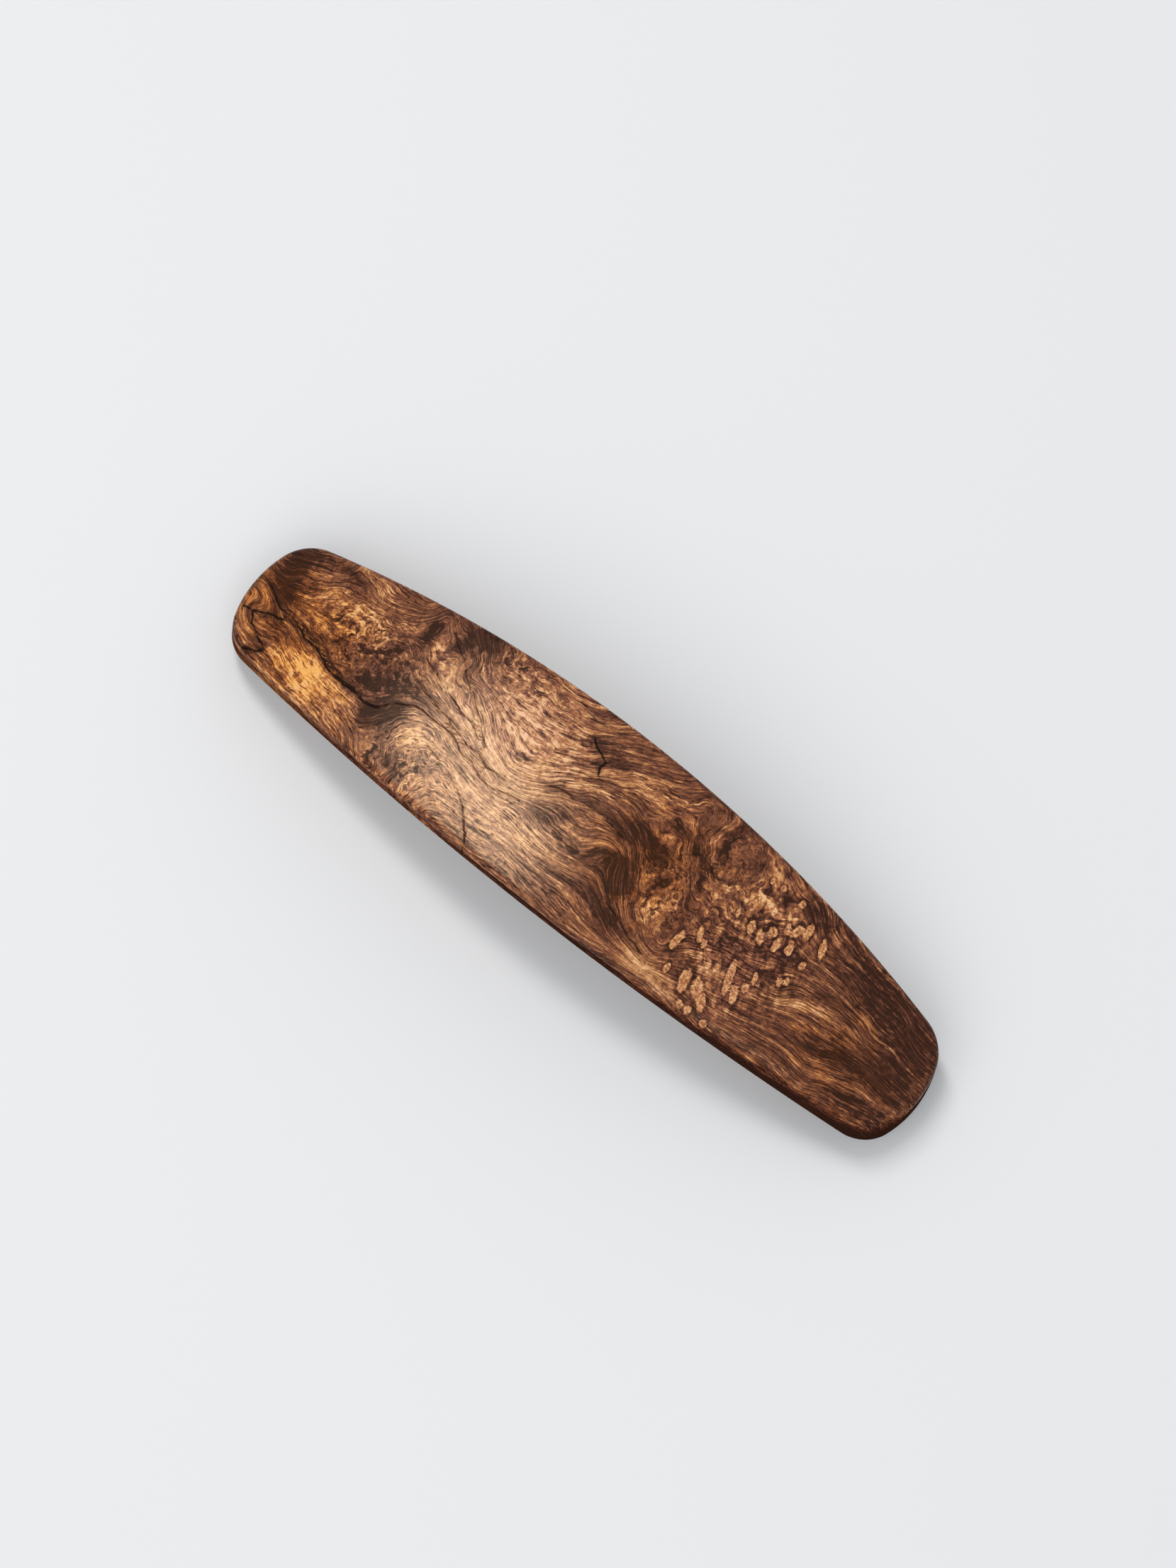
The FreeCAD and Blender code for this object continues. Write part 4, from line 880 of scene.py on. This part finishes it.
    roughness = n.math("MULTIPLY_ADD", mottle, 0.08, 0.17)
    roughness = n.math("MULTIPLY_ADD", pores, 0.15, roughness)
    roughness = n.math("MULTIPLY_ADD", wall, 0.20, roughness, clamp=True)
    n.feed(n.shader.inputs["Roughness"], roughness)
    level = n.math("MULTIPLY", n.span(depth, 0.1, 0.8, 0.30, 0.0), n.span(line, 0, 0.6, 1, 0.1))
    level = n.math("MULTIPLY", level, n.span(figure, 0.15, 0.60, 0.35, 1.05))
    n.feed(n.shader.inputs["Specular IOR Level"], level)
    n.shader.inputs["Specular Tint"].default_value = (1.0, 0.82, 0.58, 1)
    sunk = n.math("MULTIPLY_ADD", line, -0.6, n.math("MULTIPLY", pores, -0.35))
    height = n.math("MULTIPLY_ADD", strands, 0.12, sunk)
    n.feed(n.shader.inputs["Normal"], n.bump(height, 0.00004))
    return n.material


def make_steel_material(name, colour, low, high, lines):
    """Plated or bare steel: fine rolling lines along X, cloudy roughness and a few light scratches."""
    n = Nodes(name)
    place = n.add("ShaderNodeTexCoord").outputs["Object"]
    stretched = n.add("ShaderNodeMapping", {"Vector": place, "Scale": (60, 4000, 1500)}).outputs[0]
    rolled = n.noise(stretched, 1.0, 3.0, 0.6)
    cloudy = n.noise(place, 420.0, 4.0, 0.6)
    across = n.add("ShaderNodeMapping", {"Vector": place, "Scale": (900, 120, 900),
                                         "Rotation": (0.3, 0.5, 0.6)}).outputs[0]
    scratches = n.span(n.noise(across, 1.0, 2.0, 0.4), 0.68, 0.72)
    darker = tuple(c * 0.82 for c in colour)
    tint = n.blend(n.span(cloudy, 0.35, 0.65), (*darker, 1), (*colour, 1))
    marked = n.blend(n.math("MULTIPLY", scratches, 0.25), tint, (0.9, 0.9, 0.9, 1))
    n.feed(n.shader.inputs["Base Color"], marked)
    n.shader.inputs["Metallic"].default_value = 1.0
    roughness = n.math("MULTIPLY_ADD", n.centred(rolled), lines, n.span(cloudy, 0.3, 0.7, low, high))
    n.feed(n.shader.inputs["Roughness"], roughness)
    n.feed(n.shader.inputs["Normal"], n.bump(n.math("MULTIPLY_ADD", scratches, -0.5, rolled), 0.000008))
    return n.material


def make_epoxy_material():
    """Cured amber epoxy with small bubbles and a slightly uneven surface."""
    n = Nodes("epoxy")
    place = n.add("ShaderNodeTexCoord").outputs["Object"]
    clouds = n.noise(place, 300.0, 4.0, 0.6)
    bubbles = n.add("ShaderNodeTexVoronoi", {"Vector": place, "Scale": 1400.0}).outputs["Distance"]
    tint = n.blend(clouds, (0.50, 0.30, 0.11, 1), (0.72, 0.52, 0.26, 1))
    colour = n.blend(n.span(bubbles, 0.22, 0.12, 0, 0.5), tint, (0.85, 0.75, 0.55, 1))
    n.feed(n.shader.inputs["Base Color"], colour)
    n.feed(n.shader.inputs["Roughness"], n.span(clouds, 0.3, 0.7, 0.12, 0.3))
    n.feed(n.shader.inputs["Normal"], n.bump(clouds, 0.00005))
    return n.material


def finish_cad_nodes():
    """Gives each metal part and the bond its material."""
    plated = make_steel_material("plated_steel", (0.80, 0.77, 0.72), 0.16, 0.30, 0.10)
    spring = make_steel_material("spring_steel", (0.56, 0.56, 0.57), 0.22, 0.38, 0.18)
    screw = make_steel_material("screw_steel", (0.74, 0.73, 0.70), 0.20, 0.34, 0.08)
    pin = make_steel_material("pin_steel", (0.68, 0.67, 0.66), 0.18, 0.32, 0.08)
    materials = {
        "epoxy_bond": make_epoxy_material(),
        "base_plate": plated,
        "plate_screw_hinge_end": screw,
        "plate_screw_catch_end": screw,
        "hinge_pin": pin,
        "clasp_arm": plated,
        "tension_bar": spring,
        "catch_prong_front": plated,
        "catch_prong_rear": plated,
    }
    for name, material in materials.items():
        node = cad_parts[name]
        node.data.materials.clear()
        node.data.materials.append(material)


# ---- The floor, the light and the camera ----

VIEW_AZIMUTH = 27.7
VIEW_ELEVATION = 75.8
VIEW_ROLL = 11.2
VIEW_DISTANCE = 1.5
FRAME_HEIGHT = 0.1863  # what the picture's height takes in at the barrette, in metres
VIEW_CENTRE = Vector((0.0, 0.0, 0.010))
VIEW_OFFSET = Vector((0.00027, 0.00600))
SENSOR = 36.0


def view_axes():
    """The camera's right, up and backward directions."""
    azimuth, elevation, roll = (math.radians(a) for a in (VIEW_AZIMUTH, VIEW_ELEVATION, VIEW_ROLL))
    back = Vector((math.sin(azimuth) * math.cos(elevation), -math.cos(azimuth) * math.cos(elevation),
                   math.sin(elevation)))
    level = Vector((math.cos(azimuth), math.sin(azimuth), 0))
    rise = back.cross(level)
    right = level * math.cos(roll) + rise * math.sin(roll)
    return right, back.cross(right), back


def make_camera():
    """The camera, looking down on the barrette from a little in front of it."""
    right, up, back = view_axes()
    data = bpy.data.cameras.new("camera")
    data.sensor_width = SENSOR
    data.lens = SENSOR * VIEW_DISTANCE / FRAME_HEIGHT
    data.clip_start = 0.01
    data.clip_end = 10.0
    camera = bpy.data.objects.new("camera", data)
    bpy.context.scene.collection.objects.link(camera)
    target = VIEW_CENTRE + right * VIEW_OFFSET.x + up * VIEW_OFFSET.y
    turn = Matrix((right, up, back)).transposed().to_4x4()
    camera.matrix_world = Matrix.Translation(target + back * VIEW_DISTANCE) @ turn
    bpy.context.scene.camera = camera


def make_floor():
    """A plain pale tabletop."""
    mesh = bpy.data.meshes.new("floor")
    half = 3.0
    corners = [(-half, -half, 0), (half, -half, 0), (half, half, 0), (-half, half, 0)]
    mesh.from_pydata(corners, [], [(0, 1, 2, 3)])
    floor = bpy.data.objects.new("floor", mesh)
    bpy.context.scene.collection.objects.link(floor)
    n = Nodes("floor")
    n.shader.inputs["Base Color"].default_value = (0.66, 0.665, 0.67, 1)
    n.shader.inputs["Roughness"].default_value = 0.6
    mesh.materials.append(n.material)


def add_light(name, direction, distance, size, power, colour=(1, 1, 1)):
    """A rectangular lamp that shines at the barrette from a direction."""
    data = bpy.data.lights.new(name, "AREA")
    data.shape = "RECTANGLE"
    data.size, data.size_y = size
    data.energy = power
    data.color = colour
    lamp = bpy.data.objects.new(name, data)
    bpy.context.scene.collection.objects.link(lamp)
    towards = Vector(direction).normalized()
    lamp.location = VIEW_CENTRE + towards * distance
    lamp.rotation_mode = "QUATERNION"
    lamp.rotation_quaternion = towards.to_track_quat("Z", "Y")
    lamp.visible_camera = False


def make_light():
    """A window high on the hinge side, a broad soft light in front, and an even, pale room."""
    add_light("window", (-0.33, 0.13, 0.93), 0.9, (0.14, 0.40), 3.1, (1.0, 0.985, 0.965))
    add_light("front", (0.1, -0.6, 0.8), 1.2, (1.2, 1.0), 6.0)
    world = bpy.data.worlds.new("room")
    world.use_nodes = True
    background = world.node_tree.nodes["Background"]
    background.inputs["Color"].default_value = (0.95, 0.965, 1.0, 1)
    background.inputs["Strength"].default_value = 0.65
    bpy.context.scene.world = world
    bpy.context.scene.view_settings.view_transform = "Standard"


make_camera()
make_floor()
make_light()
wood_face = make_wood_face()
wood_face.data.materials.append(make_burl_material())
finish_cad_nodes()
